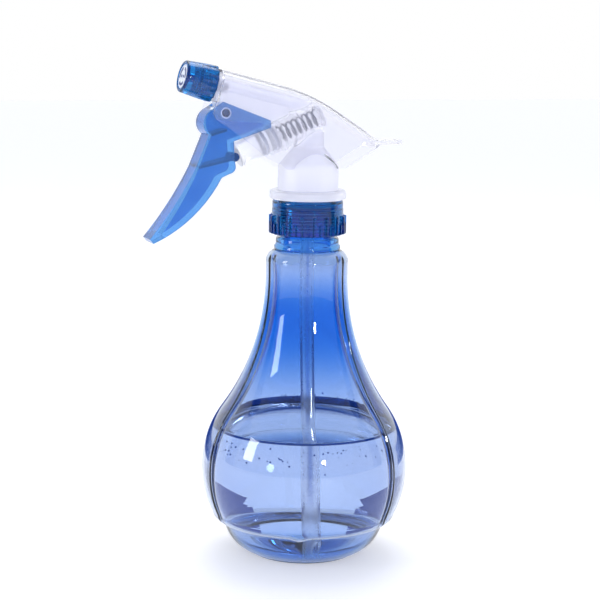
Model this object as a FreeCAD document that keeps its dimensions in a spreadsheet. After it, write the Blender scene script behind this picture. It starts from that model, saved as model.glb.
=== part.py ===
import FreeCAD, Part

# Trigger spray bottle: a three-lobed blown bottle with a screw collar and a pump head.
# Frame: +Z up, origin at the centre of the bottle's foot, nozzle towards -X, head symmetric about y = 0.
# Lengths are millimetres and angles degrees.

import math
import os

import Sketcher

doc = FreeCAD.newDocument("spray_bottle")

# ------------------------------------------------------------------ driving dimensions
SIZES = {
    # bottle
    "bulb_radius": 47.5, "bulb_height": 40.0,
    "waist_radius": 18.8, "waist_height": 129.2, "shoulder_drop": 5.6, "shoulder_round": 4.6,
    "lobe_bottom": 15.2, "lobe_corner": 4.2, "lobe_ledge": 1.4, "bowl_round": 16.0,
    "foot_radius": 25.0, "foot_flat": 3.0, "foot_dome": 2.6, "bottle_wall": 1.0,
    "groove_width": 2.4, "groove_depth": 2.0, "groove_neck_depth": 3.4, "lobe_turn": 6.5,
    "neck_bead_radius": 15.1, "neck_bead_height": 2.6, "neck_sleeve_radius": 14.4,
    "neck_sleeve_height": 5.8, "neck_base": 141.0,
    "finish_wall": 1.65, "rim_height": 159.5,
    # bottle thread and collar
    "neck_pitch": 4.23, "neck_turns": 1.5, "neck_thread_start": 149.8, "neck_thread_depth": 1.15,
    "thread_foot": 1.9, "thread_crest": 0.9, "thread_gap": 0.3, "thread_play": 0.35,
    "collar_base": 148.3, "collar_top": 164.3, "collar_radius": 16.3, "collar_bore": 14.05,
    "collar_lip": 1.6, "collar_lip_reach": 2.35,
    "tooth_reach": 1.35, "tooth_width": 1.15, "tooth_long": 8.6, "tooth_short": 5.0, "tooth_count": 18,
    "axial_gap": 0.1,
    # gasket, retainer, dip tube and inlet valve
    "gasket_thick": 1.5, "gasket_play": 0.75,
    "retainer_play": 0.85, "retainer_thick": 1.6, "plug_radius": 4.3, "plug_top": 170.0,
    "tube_radius": 3.2, "tube_wall": 0.9, "tube_seat": 167.4, "tube_foot": 3.6,
    "tube_lean": 3.4, "tube_lean_start": 118.0, "tube_bend": 220.0, "tube_cut": 30.0,
    "socket_drop": 12.0, "seat_bore": 1.3, "ball_radius": 2.0, "ball_gap": 0.12, "ball_lift": 1.2,
    "cage_bore": 2.5, "cage_roof": 1.0, "cage_window": 1.5,
    # sprayer body
    "flange_radius": 17.4, "flange_thick": 4.2, "spigot_play": 0.3, "spigot_wall": 1.5,
    "bell_radius": 13.8, "bell_height": 178.2, "bell_wall": 1.4, "bell_shoulder": 4.0, "bell_turn": 38.0,
    "column_radius": 6.5, "column_start": 188.0, "column_top": 197.0,
    "riser_radius": 6.0, "riser_bore": 2.0,
    "pump_x": -34.35, "pump_z": 184.8, "pump_pitch": 23.5,
    "mouth": 15.0, "pump_depth": 42.0, "pump_bore": 6.1, "pump_wall": 0.9, "pump_end": 1.2,
    "barrel_depth": 31.0, "spring_room": 4.3,
    "mouth_ring": 0.7, "mouth_ring_long": 1.6, "mouth_ring_place": 6.0,
    "nozzle_x": -45.5, "nozzle_z": 215.9, "nozzle_pitch": 13.94,
    "duct_radius": 3.8, "duct_bore": 1.4, "duct_back": 46.6,
    "valve_bore": 2.6, "valve_seat": 6.6, "spigot_reach": 9.2,
    "web_width": 6.8, "boss_radius": 3.4, "pivot_x": -41.3, "pivot_z": 203.5,
    # trigger
    "trigger_width": 11.2, "cheek": 1.1, "trigger_web": 1.4, "pin_radius": 1.7, "pin_gap": 0.05,
    "blade_long": 66.5, "wing_long": 20.9, "nose_radius": 2.0, "nose_gap": 0.2, "rib_thick": 1.2,
    # piston and return spring
    "piston_gap": 0.3, "piston_face_thick": 1.3, "seal_seat": 1.2,
    "piston_long": 20.2, "seal_width": 1.7, "seal_gap": 0.03, "seal_spacing": 5.2,
    "seal_inset": 1.1, "spring_radius": 4.0, "spring_wire": 0.5, "spring_turns": 7.5,
    "spring_seat_gap": 0.15,
    # shroud
    "shroud_width": 19.0, "shroud_wall": 1.3, "shroud_round": 5.0, "shroud_gap": 0.1,
    "knee_x": -1.0, "knee_z": 212.0, "back_front_slope": 13.94, "back_rear_slope": 32.6, "back_blend": 14.0,
    "tail_root": 31.1, "tail_height": 190.6, "tail_long": 13.0, "tail_thick": 1.6,
    # nozzle
    "cap_long": 14.7, "cap_back_radius": 8.4, "cap_front_radius": 7.1,
    "cap_flutes": 12, "flute_radius": 1.5, "flute_long": 7.5, "face_radius": 5.7, "face_thick": 1.2,
    "face_recess": 0.3, "orifice": 0.45, "nozzle_thread_pitch": 2.0, "nozzle_thread_depth": 0.7,
    "nozzle_thread_foot": 0.9, "nozzle_thread_crest": 0.4, "nozzle_thread_start": 0.9, "nozzle_turns": 1.9,
    "core_radius": 2.55, "core_head": 3.5, "core_head_long": 1.2,
    "seal_ring": 0.8, "seal_place": 6.5, "cap_bridge": 10.8, "outlet_wire": 0.25, "outlet_turns": 6.5,
}

sheet = doc.addObject("Spreadsheet::Sheet", "Sizes")
for row, (alias, number) in enumerate(SIZES.items(), start=1):
    sheet.set("A%d" % row, alias)
    sheet.set("B%d" % row, str(number))
    sheet.setAlias("B%d" % row, alias)
doc.recompute()


# ------------------------------------------------------------------ sizes with their formulas
class Dim:
    """A length that carries its number and the sheet formula that gives it."""

    def __init__(self, number, formula):
        self.number = number
        self.formula = formula

    def __add__(self, other):
        other = as_dim(other)
        return Dim(self.number + other.number, "(%s + %s)" % (self.formula, other.formula))

    def __sub__(self, other):
        other = as_dim(other)
        return Dim(self.number - other.number, "(%s - %s)" % (self.formula, other.formula))

    def __mul__(self, other):
        other = as_dim(other)
        return Dim(self.number * other.number, "(%s * %s)" % (self.formula, other.formula))

    def __truediv__(self, other):
        other = as_dim(other)
        return Dim(self.number / other.number, "(%s / %s)" % (self.formula, other.formula))

    def __neg__(self):
        return Dim(-self.number, "(0 - %s)" % self.formula)

    __radd__ = __add__
    __rmul__ = __mul__

    def __rsub__(self, other):
        return as_dim(other) - self

    def __rtruediv__(self, other):
        return as_dim(other) / self


def as_dim(value):
    return value if isinstance(value, Dim) else Dim(float(value), "(%r)" % float(value))


def size(alias):
    return Dim(float(sheet.get(alias)), "Sizes.%s" % alias)


def sine(angle):
    return Dim(math.sin(math.radians(angle.number)), "sin(%s * 1 deg)" % angle.formula)


def cosine(angle):
    return Dim(math.cos(math.radians(angle.number)), "cos(%s * 1 deg)" % angle.formula)


def root(value):
    return Dim(math.sqrt(value.number), "sqrt(%s)" % value.formula)


def bind(thing, prop, value):
    thing.setExpression(prop, as_dim(value).formula)


# ------------------------------------------------------------------ places
UP = FreeCAD.Vector(0, 0, 1)
THREAD_START = 35.0     # where every thread starts, the same on both halves of a joint
PUMP_X, PUMP_Z, PUMP_PITCH = size("pump_x"), size("pump_z"), size("pump_pitch")
NOZZLE_X, NOZZLE_Z, NOZZLE_PITCH = size("nozzle_x"), size("nozzle_z"), size("nozzle_pitch")
COLLAR_BORE = size("collar_bore")
FINISH_ROOT = COLLAR_BORE - size("neck_thread_depth") - size("thread_play")
FINISH_BORE = FINISH_ROOT - size("finish_wall")
LIP_BORE = COLLAR_BORE - size("collar_lip_reach")
SPIGOT_RADIUS = LIP_BORE - size("spigot_play")
SPIGOT_BORE = SPIGOT_RADIUS - size("spigot_wall")
GASKET_RADIUS = COLLAR_BORE - size("gasket_play")
RETAINER_RADIUS = COLLAR_BORE - size("retainer_play")


def place(thing, base=(0, 0, 0), axis=UP, angle=0):
    """Puts a thing at a base point, turned by an angle about an axis, bound to the sheet."""
    thing.Placement = FreeCAD.Placement(FreeCAD.Vector(*[as_dim(b).number for b in base]),
                                        FreeCAD.Rotation(axis, as_dim(angle).number))
    for name, value in zip("xyz", base):
        if isinstance(value, Dim):
            bind(thing, "Placement.Base." + name, value)
    if isinstance(angle, Dim):
        bind(thing, "Placement.Rotation.Angle", angle)
    return thing


def on_pump(thing, along=0.0):
    """Puts a thing, whose own +Z runs rearwards along the pump barrel, some way from the piston's face."""
    along = as_dim(along)
    base = (PUMP_X + along * cosine(PUMP_PITCH), 0, PUMP_Z + along * sine(PUMP_PITCH))
    return place(thing, base, FreeCAD.Vector(0, 1, 0), 90 - PUMP_PITCH)


def on_nozzle(thing, along=0.0):
    """Puts a thing whose own +Z runs out of the nozzle, at a distance from the back of the nozzle cap."""
    along = as_dim(along)
    base = (NOZZLE_X - along * cosine(NOZZLE_PITCH), 0, NOZZLE_Z + along * sine(NOZZLE_PITCH))
    return place(thing, base, FreeCAD.Vector(0, -1, 0), 90 - NOZZLE_PITCH)


# ------------------------------------------------------------------ solids
def cylinder(name, radius, long, base=(0, 0, 0)):
    solid = doc.addObject("Part::Cylinder", name)
    bind(solid, "Radius", radius)
    bind(solid, "Height", long)
    return place(solid, base)


def cross_pin(name, radius, width, x, z):
    """A round bar across the head, from side to side."""
    solid = doc.addObject("Part::Cylinder", name)
    bind(solid, "Radius", radius)
    bind(solid, "Height", width)
    return place(solid, (x, as_dim(width) / 2, z), FreeCAD.Vector(1, 0, 0), 90)


def ball(name, radius):
    solid = doc.addObject("Part::Sphere", name)
    bind(solid, "Radius", radius)
    return solid


def cut(name, base, tool):
    solid = doc.addObject("Part::Cut", name)
    solid.Base, solid.Tool = base, tool
    return solid


def common(name, base, tool):
    solid = doc.addObject("Part::Common", name)
    solid.Base, solid.Tool = base, tool
    return solid


def fuse(name, *pieces):
    solid = doc.addObject("Part::MultiFuse", name)
    solid.Shapes = list(pieces)
    solid.Refine = False        # merging the faces of a helical ridge can spoil the solid
    return solid


def arc_between(start, end, radius):
    """Arc from start to end: a positive radius turns left on the way, a negative one right."""
    chord = end - start
    half = chord.Length / 2
    rise = math.sqrt(max(radius * radius - half * half, 0.0))
    left = FreeCAD.Vector(-chord.y, chord.x, 0).normalize()
    side = 1 if radius > 0 else -1
    centre = start + chord * 0.5 + left * (rise * side)
    first, last = (start, end) if radius > 0 else (end, start)
    angles = [math.atan2(p.y - centre.y, p.x - centre.x) for p in (first, last)]
    circle = Part.Circle(centre, FreeCAD.Vector(0, 0, 1), abs(radius))
    return Part.ArcOfCircle(circle, angles[0], angles[1])


def outline_sketch(body, corners, plane="XZ_Plane"):
    """Closed outline on one of a body's own planes.

    A corner is (across, up) or (across, up, radius); with a radius the run to the next corner is an
    arc. Every corner and radius is bound to the sheet.
    """
    sketch = body.newObject("Sketcher::SketchObject", body.Name + "_outline")
    support = [f for f in body.Origin.OriginFeatures if f.Role == plane][0]
    sketch.AttachmentSupport = [(support, "")]
    sketch.MapMode = "FlatFace"
    points = [FreeCAD.Vector(as_dim(c[0]).number, as_dim(c[1]).number, 0) for c in corners]
    ends = []
    for i, corner in enumerate(corners):
        start, end = points[i], points[(i + 1) % len(points)]
        if len(corner) == 3:
            radius = as_dim(corner[2])
            geo = sketch.addGeometry(arc_between(start, end, radius.number))
            ends.append((geo, 1, 2) if radius.number > 0 else (geo, 2, 1))
        else:
            ends.append((sketch.addGeometry(Part.LineSegment(start, end)), 1, 2))
    for i, (geo, first, last) in enumerate(ends):
        following, start_point, _ = ends[(i + 1) % len(ends)]
        sketch.addConstraint(Sketcher.Constraint("Coincident", geo, last, following, start_point))
    for i, ((geo, first, last), corner) in enumerate(zip(ends, corners)):
        for kind, value in (("DistanceX", corner[0]), ("DistanceY", corner[1])):
            value = as_dim(value)
            index = sketch.addConstraint(Sketcher.Constraint(kind, -1, 1, geo, first, value.number))
            bind(sketch, "Constraints[%d]" % index, value)
        if len(corner) == 3:
            radius = as_dim(corner[2])
            bend = radius if radius.number > 0 else -radius
            index = sketch.addConstraint(Sketcher.Constraint("Radius", geo, bend.number))
            bind(sketch, "Constraints[%d]" % index, bend)
    return sketch


def turned(name, corners):
    """A turned piece: the outline (radius, height) spun about the piece's own Z."""
    body = doc.addObject("PartDesign::Body", name)
    sketch = outline_sketch(body, corners)
    spin = body.newObject("PartDesign::Revolution", name + "_spin")
    spin.Profile = sketch
    spin.ReferenceAxis = (sketch, ["V_Axis"])
    spin.Angle = 360.0
    body.Tip = spin
    return body


def plate(name, corners, width):
    """A plate seen from the side: the outline (x, z), padded equally to both sides of y = 0."""
    body = doc.addObject("PartDesign::Body", name)
    sketch = outline_sketch(body, corners)
    pad = body.newObject("PartDesign::Pad", name + "_pad")
    pad.Profile = sketch
    pad.SideType = "Symmetric"
    bind(pad, "Length", width)
    body.Tip = pad
    return body


def shaped(name, shape):
    """A piece whose form no ready-made feature gives, made from the sheet's numbers."""
    feature = doc.addObject("Part::Feature", name)
    feature.Shape = shape
    return feature


def slab(name, corners, low, thick):
    """A flat piece seen from above: the outline (x, y), padded upwards from a height."""
    body = doc.addObject("PartDesign::Body", name)
    sketch = outline_sketch(body, corners, "XY_Plane")
    pad = body.newObject("PartDesign::Pad", name + "_pad")
    pad.Profile = sketch
    bind(pad, "Length", thick)
    body.Tip = pad
    return place(body, (0, 0, low))


def rounded(name, block, radius, along):
    """Rounds the edges of a block that run along both its sides, chosen by a test of their box."""
    doc.recompute()
    edges = [(i, radius.number, radius.number) for i, edge in enumerate(block.Shape.Edges, start=1)
             if edge.BoundBox.YLength < 0.01 and along(edge.BoundBox)]
    solid = doc.addObject("Part::Fillet", name)
    solid.Base = block
    solid.Edges = edges
    return solid


def number(alias):
    return size(alias).number


def ridge(pitch, turns, wall, crest, foot_width, crest_width):
    """Helical ridge that stands on a wall of one radius and ends at a crest of another.

    The turn to the start is made before the sweep, so that a Placement set later adds to it.
    """
    centre = FreeCAD.Vector(0, 0, 0)
    helix = Part.makeHelix(pitch, pitch * turns, wall)
    helix.rotate(centre, UP, THREAD_START)
    root_depth = -0.25 if crest > wall else 0.25
    corners = [(wall + root_depth, -foot_width / 2), (crest, -crest_width / 2),
               (crest, crest_width / 2), (wall + root_depth, foot_width / 2)]
    profile = Part.makePolygon([FreeCAD.Vector(x, 0, z) for x, z in corners + corners[:1]])
    profile.rotate(centre, UP, THREAD_START)
    return Part.Wire(helix).makePipeShell([profile], True, True)


def coil(radius, wire, turns, long):
    """Round-wire compression spring along +Z, its end turns flat against z = 0 and z = long."""
    lift = long - 2 * wire
    helix = Part.makeHelix(lift / turns, lift, radius)
    helix.translate(FreeCAD.Vector(0, 0, wire))
    profile = Part.Wire(Part.makeCircle(wire, FreeCAD.Vector(radius, 0, wire), FreeCAD.Vector(0, 1, 0)))
    return Part.Wire(helix).makePipeShell([profile], True, True)


# ------------------------------------------------------------------ bottle
def bottle_side(inset, neck_inset):
    """Bulb and flare of the bottle's side, moved inwards by one amount at the bulb, another at the neck.

    Two tangent arcs: the ball-shaped bulb's, and that of the long flare, which ends upright at the waist.
    """
    bulb = size("bulb_radius") - inset
    neck = size("waist_radius") - neck_inset
    climb = size("waist_height") - size("bulb_height")
    flare = (neck * neck + climb * climb - bulb * bulb) / (2 * (bulb - neck))
    share = bulb / (bulb + flare)
    meet = ((neck + flare) * share, size("bulb_height") + climb * share)
    return bulb, flare, meet, neck


def at_height(bulb, level):
    """Radius of a bulb at a height below the meeting of the arcs."""
    drop = level - size("bulb_height")
    return root(bulb * bulb - drop * drop)


def bottle_outline(inset, neck_inset, floor):
    """Closed outline of the bottle's blown part, solid to the axis, from the foot to the shoulder."""
    bulb, flare, meet, neck = bottle_side(inset, neck_inset)
    ledge = size("lobe_bottom") + inset * floor
    low = ledge + size("lobe_corner")
    low_r = at_height(bulb, low)
    bowl_top = low_r - size("lobe_corner") - size("lobe_ledge")
    dome = size("foot_dome")
    ring = size("foot_radius") - size("foot_flat") - inset * 0.5
    dome_bend = (ring * ring + dome * dome) / (2 * dome)
    shoulder = size("neck_base") - size("shoulder_drop") - inset * 0.3
    neck_top = size("neck_base") - inset
    top_r = neck - size("shoulder_round") * 0.75
    return [
        (0, dome + inset, -dome_bend), (ring, inset),
        (size("foot_radius") - inset * 0.5, inset, size("bowl_round")),
        (bowl_top, ledge), (bowl_top + size("lobe_ledge") * 0.6, ledge, size("lobe_corner") * 1.15),
        (low_r, low, bulb), (meet[0], meet[1], -flare),
        (neck, size("waist_height")), (neck, shoulder, size("shoulder_round") * 1.35),
        (top_r, neck_top), (0, neck_top),
    ]


def groove_slabs(name, width):
    """Three radial slabs, one on each line between two lobes."""
    slabs = []
    for step in range(3):
        slab = doc.addObject("Part::Box", "%s_%d" % (name, step))
        bind(slab, "Length", size("bulb_radius") + 5)
        bind(slab, "Width", width)
        bind(slab, "Height", size("neck_base") - size("lobe_bottom") - 0.2)
        turn = size("lobe_turn") + 60 + 120 * step
        corner = (sine(turn) * width / 2, -(cosine(turn) * width / 2), size("lobe_bottom") + 0.1)
        place(slab, corner, UP, turn)
        slabs.append(slab)
    return fuse(name, *slabs)


def groove_ring(name, inset, neck_inset):
    """Everything outside a side that lies deeper than the bottle's own by the given amounts."""
    bulb, flare, meet, neck = bottle_side(inset, neck_inset)
    floor = size("lobe_bottom")
    far = size("bulb_radius") + 8
    return turned(name, [
        (at_height(bulb, floor), floor, bulb), (meet[0], meet[1], -flare),
        (neck, size("waist_height")), (neck, size("neck_base") + 1),
        (far, size("neck_base") + 1), (far, floor),
    ])


def make_bottle():
    wall = size("bottle_wall")
    outside = turned("bottle_outside", bottle_outline(as_dim(0), as_dim(0), 1))
    channels = common("bottle_channels",
                      groove_ring("channel_ring", size("groove_depth"), size("groove_neck_depth")),
                      groove_slabs("channel_slab", size("groove_width")))
    grooved = cut("bottle_grooved", outside, channels)
    bead_top = size("neck_base") + size("neck_bead_height")
    sleeve_top = size("neck_base") + size("neck_sleeve_height")
    finish = turned("bottle_finish", [
        (0, size("neck_base") - wall), (FINISH_ROOT, size("neck_base") - wall),
        (size("neck_bead_radius") - 1.2, size("neck_base")),
        (size("neck_bead_radius"), size("neck_base") + 0.5),
        (size("neck_bead_radius"), bead_top - 0.5), (size("neck_sleeve_radius"), bead_top),
        (size("neck_sleeve_radius"), sleeve_top - 0.4), (FINISH_ROOT, sleeve_top),
        (FINISH_ROOT, size("rim_height") - 0.4), (FINISH_ROOT - 0.4, size("rim_height")),
        (0, size("rim_height")),
    ])
    inside = turned("bottle_inside", bottle_outline(wall, wall, 0.6))
    folds = common("bottle_folds",
                   groove_ring("fold_ring", size("groove_depth") + wall, size("groove_neck_depth") + wall),
                   groove_slabs("fold_slab", size("groove_width") + wall * 2))
    cavity = cut("bottle_cavity", inside, folds)
    bore = cylinder("bottle_bore", FINISH_BORE, size("rim_height") - size("neck_base") + 12,
                    (0, 0, size("neck_base") - 4))
    thread = shaped("bottle_thread", ridge(number("neck_pitch"), number("neck_turns"), FINISH_ROOT.number,
                                           FINISH_ROOT.number + number("neck_thread_depth"),
                                           number("thread_foot"), number("thread_crest")))
    thread.Placement.Base = FreeCAD.Vector(0, 0, number("neck_thread_start"))
    hollow = fuse("bottle_hollow", cavity, bore)
    return cut("bottle", fuse("bottle_solid", grooved, finish, thread), hollow)


# ------------------------------------------------------------------ collar
def make_collar():
    radius, bore = size("collar_radius"), COLLAR_BORE
    low, top = size("collar_base"), size("collar_top")
    body = turned("collar_shell", [
        (bore, low), (radius - 0.6, low), (radius, low + 1.0), (radius, top - 1.2),
        (radius - 1.2, top), (LIP_BORE, top),
        (LIP_BORE, top - size("collar_lip")), (bore, top - size("collar_lip")),
    ])
    for name, long, turn in (("long_tooth", size("tooth_long"), 0), ("short_tooth", size("tooth_short"), 1)):
        half = size("tooth_width") / 2
        sketch = outline_sketch(body, [(radius - 0.3, -half), (radius + size("tooth_reach"), -half * 0.7),
                                       (radius + size("tooth_reach"), half * 0.7), (radius - 0.3, half)],
                                "XY_Plane")
        sketch.AttachmentOffset = FreeCAD.Placement(
            FreeCAD.Vector(0, 0, low.number + 0.4), FreeCAD.Rotation(UP, turn * 180 / number("tooth_count")))
        bind(sketch, "AttachmentOffset.Base.z", low + 0.4)
        if turn:
            bind(sketch, "AttachmentOffset.Rotation.Angle", 180 / size("tooth_count"))
        pad = body.newObject("PartDesign::Pad", name)
        pad.Profile = sketch
        bind(pad, "Length", long)
        ring = body.newObject("PartDesign::PolarPattern", name + "_ring")
        ring.Originals = [pad]
        ring.Axis = (sketch, ["N_Axis"])
        ring.Angle = 360.0
        bind(ring, "Occurrences", size("tooth_count"))
        body.Tip = ring
    # The collar's thread runs half a pitch above the bottle's, so that the ridges pass between each other.
    ridge_shape = ridge(number("neck_pitch"), number("neck_turns"), COLLAR_BORE.number,
                        FINISH_ROOT.number + number("thread_gap"),
                        number("thread_foot"), number("thread_crest"))
    thread = shaped("collar_thread", ridge_shape)
    thread.Placement.Base = FreeCAD.Vector(0, 0, number("neck_thread_start") + number("neck_pitch") / 2)
    return fuse("screw_collar", body, thread)


# ------------------------------------------------------------------ pieces in the neck
GASKET_TOP = size("rim_height") + size("gasket_thick")
RETAINER_TOP = GASKET_TOP + size("retainer_thick")
FLANGE_LOW = size("collar_top") + size("axial_gap")
SEAT = size("plug_top")


def make_gasket():
    return turned("bottle_gasket", [
        (FINISH_BORE, size("rim_height")), (GASKET_RADIUS, size("rim_height")),
        (GASKET_RADIUS, GASKET_TOP), (FINISH_BORE, GASKET_TOP),
    ])


def make_retainer():
    """Flanged plug under the head: it grips the dip tube and carries the inlet ball's seat."""
    socket, low = size("tube_radius"), GASKET_TOP - size("socket_drop")
    return turned("tube_retainer", [
        (socket, low), (size("plug_radius"), low), (size("plug_radius"), GASKET_TOP - 2),
        (size("plug_radius") + 2, GASKET_TOP), (RETAINER_RADIUS, GASKET_TOP),
        (RETAINER_RADIUS, RETAINER_TOP), (size("plug_radius"), RETAINER_TOP),
        (size("plug_radius"), SEAT),
        (size("cage_bore"), SEAT), (size("seat_bore"), SEAT - 1.2), (size("seat_bore"), size("tube_seat")),
        (socket, size("tube_seat")),
    ])


def make_dip_tube():
    """Tube that drops straight from the retainer, bends a little and ends in a slanted cut near the floor."""
    lean, foot, start = number("tube_lean"), number("tube_foot"), number("tube_lean_start")
    bend = number("tube_bend")
    turn = math.atan2(lean, start - foot)
    back = bend * math.tan(turn / 2)
    top = FreeCAD.Vector(0, 0, number("tube_seat"))
    corner = FreeCAD.Vector(0, 0, start)
    away = FreeCAD.Vector(math.sin(turn), 0, -math.cos(turn))
    upper, lower = corner + FreeCAD.Vector(0, 0, back), corner + away * back
    centre = upper + FreeCAD.Vector(bend, 0, 0)
    middle = centre + FreeCAD.Vector(-math.cos(turn / 2), 0, -math.sin(turn / 2)) * bend
    end = corner + away * (start - foot + number("tube_radius"))
    path = Part.Wire([Part.makeLine(top, upper), Part.Arc(upper, middle, lower).toShape(),
                      Part.makeLine(lower, end)])
    down = FreeCAD.Vector(0, 0, -1)
    solids = []
    for radius in (number("tube_radius"), number("tube_radius") - number("tube_wall")):
        ring = Part.Wire(Part.makeCircle(radius, top, down))
        solids.append(path.makePipeShell([ring], True, False))
    tube = solids[0].cut(solids[1])
    knife = Part.makeBox(40, 40, 40, FreeCAD.Vector(-20, -20, -40))
    knife.rotate(FreeCAD.Vector(0, 0, 0), FreeCAD.Vector(0, 1, 0), -number("tube_cut"))
    rise = number("tube_radius") * math.tan(math.radians(number("tube_cut")))
    knife.translate(FreeCAD.Vector(lean, 0, foot + rise))
    return shaped("dip_tube", tube.cut(knife))


def make_inlet_valve():
    """Ball that sits just clear of its cone, in a roofed cage pressed into the riser."""
    reach, seat = size("ball_radius"), size("seat_bore")
    rest = SEAT - 1.2 + root(reach * reach - seat * seat)
    rest = rest + size("ball_gap") + 0.25
    inlet = ball("inlet_ball", size("ball_radius"))
    place(inlet, (0, 0, rest))
    roof = rest + size("ball_radius") + size("ball_lift") + size("ball_gap")
    cage = turned("ball_cage", [
        (size("cage_bore"), SEAT), (size("plug_radius"), SEAT),
        (size("plug_radius"), roof + size("cage_roof")), (size("cage_window"), roof + size("cage_roof")),
        (size("cage_window"), roof), (size("cage_bore"), roof),
    ])
    return inlet, cage, roof + size("cage_roof")


# ------------------------------------------------------------------ sprayer body
def bell_shoulder(inset):
    """Corners of the bell's top, moved inwards: upright side, rounded shoulder, and cone up to the column."""
    bend = size("bell_shoulder") - inset
    radius, turn = size("bell_radius") - inset, size("bell_turn")
    return [(radius, size("bell_height"), bend),
            (radius - bend * (1 - cosine(turn)), size("bell_height") + bend * sine(turn))]


def bell_outline():
    radius = size("bell_radius")
    flange_top = FLANGE_LOW + size("flange_thick")
    return [
        (0, RETAINER_TOP), (SPIGOT_RADIUS, RETAINER_TOP), (SPIGOT_RADIUS, FLANGE_LOW),
        (size("flange_radius") - 0.6, FLANGE_LOW), (size("flange_radius"), FLANGE_LOW + 0.6),
        (size("flange_radius"), flange_top - 0.8), (size("flange_radius") - 0.8, flange_top),
        (radius, flange_top), *bell_shoulder(as_dim(0)),
        (size("column_radius") + 0.4, size("column_start")), (size("column_radius"), size("column_top")),
        (0, size("column_top")),
    ]


def make_sprayer_body(cage_top):
    bell = turned("bell", bell_outline())
    mouth, step = size("mouth"), size("barrel_depth")
    barrel_long = step + size("pump_end") - mouth
    barrel = on_pump(cylinder("barrel", size("pump_bore") + size("pump_wall"), barrel_long), mouth)
    tail = on_pump(cylinder("barrel_tail", size("spring_room") + size("pump_wall"),
                            size("pump_depth") + size("pump_end") - step), step)
    ring = on_pump(cylinder("barrel_ring", size("pump_bore") + size("pump_wall") + size("mouth_ring"),
                            size("mouth_ring_long")), mouth + size("mouth_ring_place"))
    duct = on_nozzle(cylinder("duct", size("duct_radius"), size("duct_back") + size("spigot_reach")),
                     -size("duct_back"))
    crest = number("duct_radius") + number("nozzle_thread_depth")
    thread = shaped("spigot_thread", ridge(number("nozzle_thread_pitch"), number("nozzle_turns"),
                                           number("duct_radius"), crest, number("nozzle_thread_foot"),
                                           number("nozzle_thread_crest")))
    on_nozzle(thread, size("nozzle_thread_start"))
    boss = cross_pin("pivot_boss", size("boss_radius"), size("web_width"), size("pivot_x"), size("pivot_z"))
    x, z = size("pivot_x"), size("pivot_z")
    slope = sine(NOZZLE_PITCH) / cosine(NOZZLE_PITCH)
    duct_at = NOZZLE_Z - slope * (x - NOZZLE_X)
    far = 30
    web = plate("web", [
        (x - size("boss_radius"), z), (x + 1, z - size("boss_radius")),
        (x + far, z - size("boss_radius") - 2),
        (x + far, duct_at - slope * far), (x - size("boss_radius"), duct_at),
    ], size("web_width"))
    solid = fuse("body_solid", bell, barrel, tail, ring, duct, thread, boss, web)

    bell_room = turned("bell_room", [
        (size("riser_radius"), RETAINER_TOP - 1), (SPIGOT_BORE, RETAINER_TOP - 1),
        (SPIGOT_BORE, FLANGE_LOW + 1), (size("bell_radius") - size("bell_wall"), FLANGE_LOW + 4),
        *bell_shoulder(size("bell_wall")),
        (size("riser_radius") + 0.9, size("column_start") - size("bell_wall") * 2),
        (size("riser_radius"), size("column_start") - size("bell_wall") * 2 - 1.5),
    ])
    plug_bore = cylinder("plug_bore", size("plug_radius"), cage_top - RETAINER_TOP + 1,
                         (0, 0, RETAINER_TOP - 1))
    axis_z = PUMP_Z - PUMP_X * sine(PUMP_PITCH) / cosine(PUMP_PITCH)
    riser = cylinder("riser", size("riser_bore"), axis_z - cage_top + 0.5, (0, 0, cage_top - 0.5))
    bore = on_pump(cylinder("barrel_room", size("pump_bore"), step - mouth + 1), mouth - 1)
    chamber = cylinder("spring_chamber", size("spring_room"), size("pump_depth") - step + 1)
    on_pump(chamber, step - 1)
    narrow = cylinder("duct_room", size("duct_bore"), size("duct_back") - 0.8)
    on_nozzle(narrow, -size("duct_back") + 0.8)
    valve_long = size("valve_seat") + size("spigot_reach") + 1
    valve_room = on_nozzle(cylinder("valve_room", size("valve_bore"), valve_long),
                           -size("valve_seat"))
    pin_hole = cross_pin("pin_hole", size("pin_radius") + size("pin_gap"), size("web_width") + 2, x, z)
    return cut("sprayer_body", solid, fuse("body_rooms", bell_room, plug_bore, riser, bore, chamber, narrow,
                                           valve_room, pin_hole))


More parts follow.
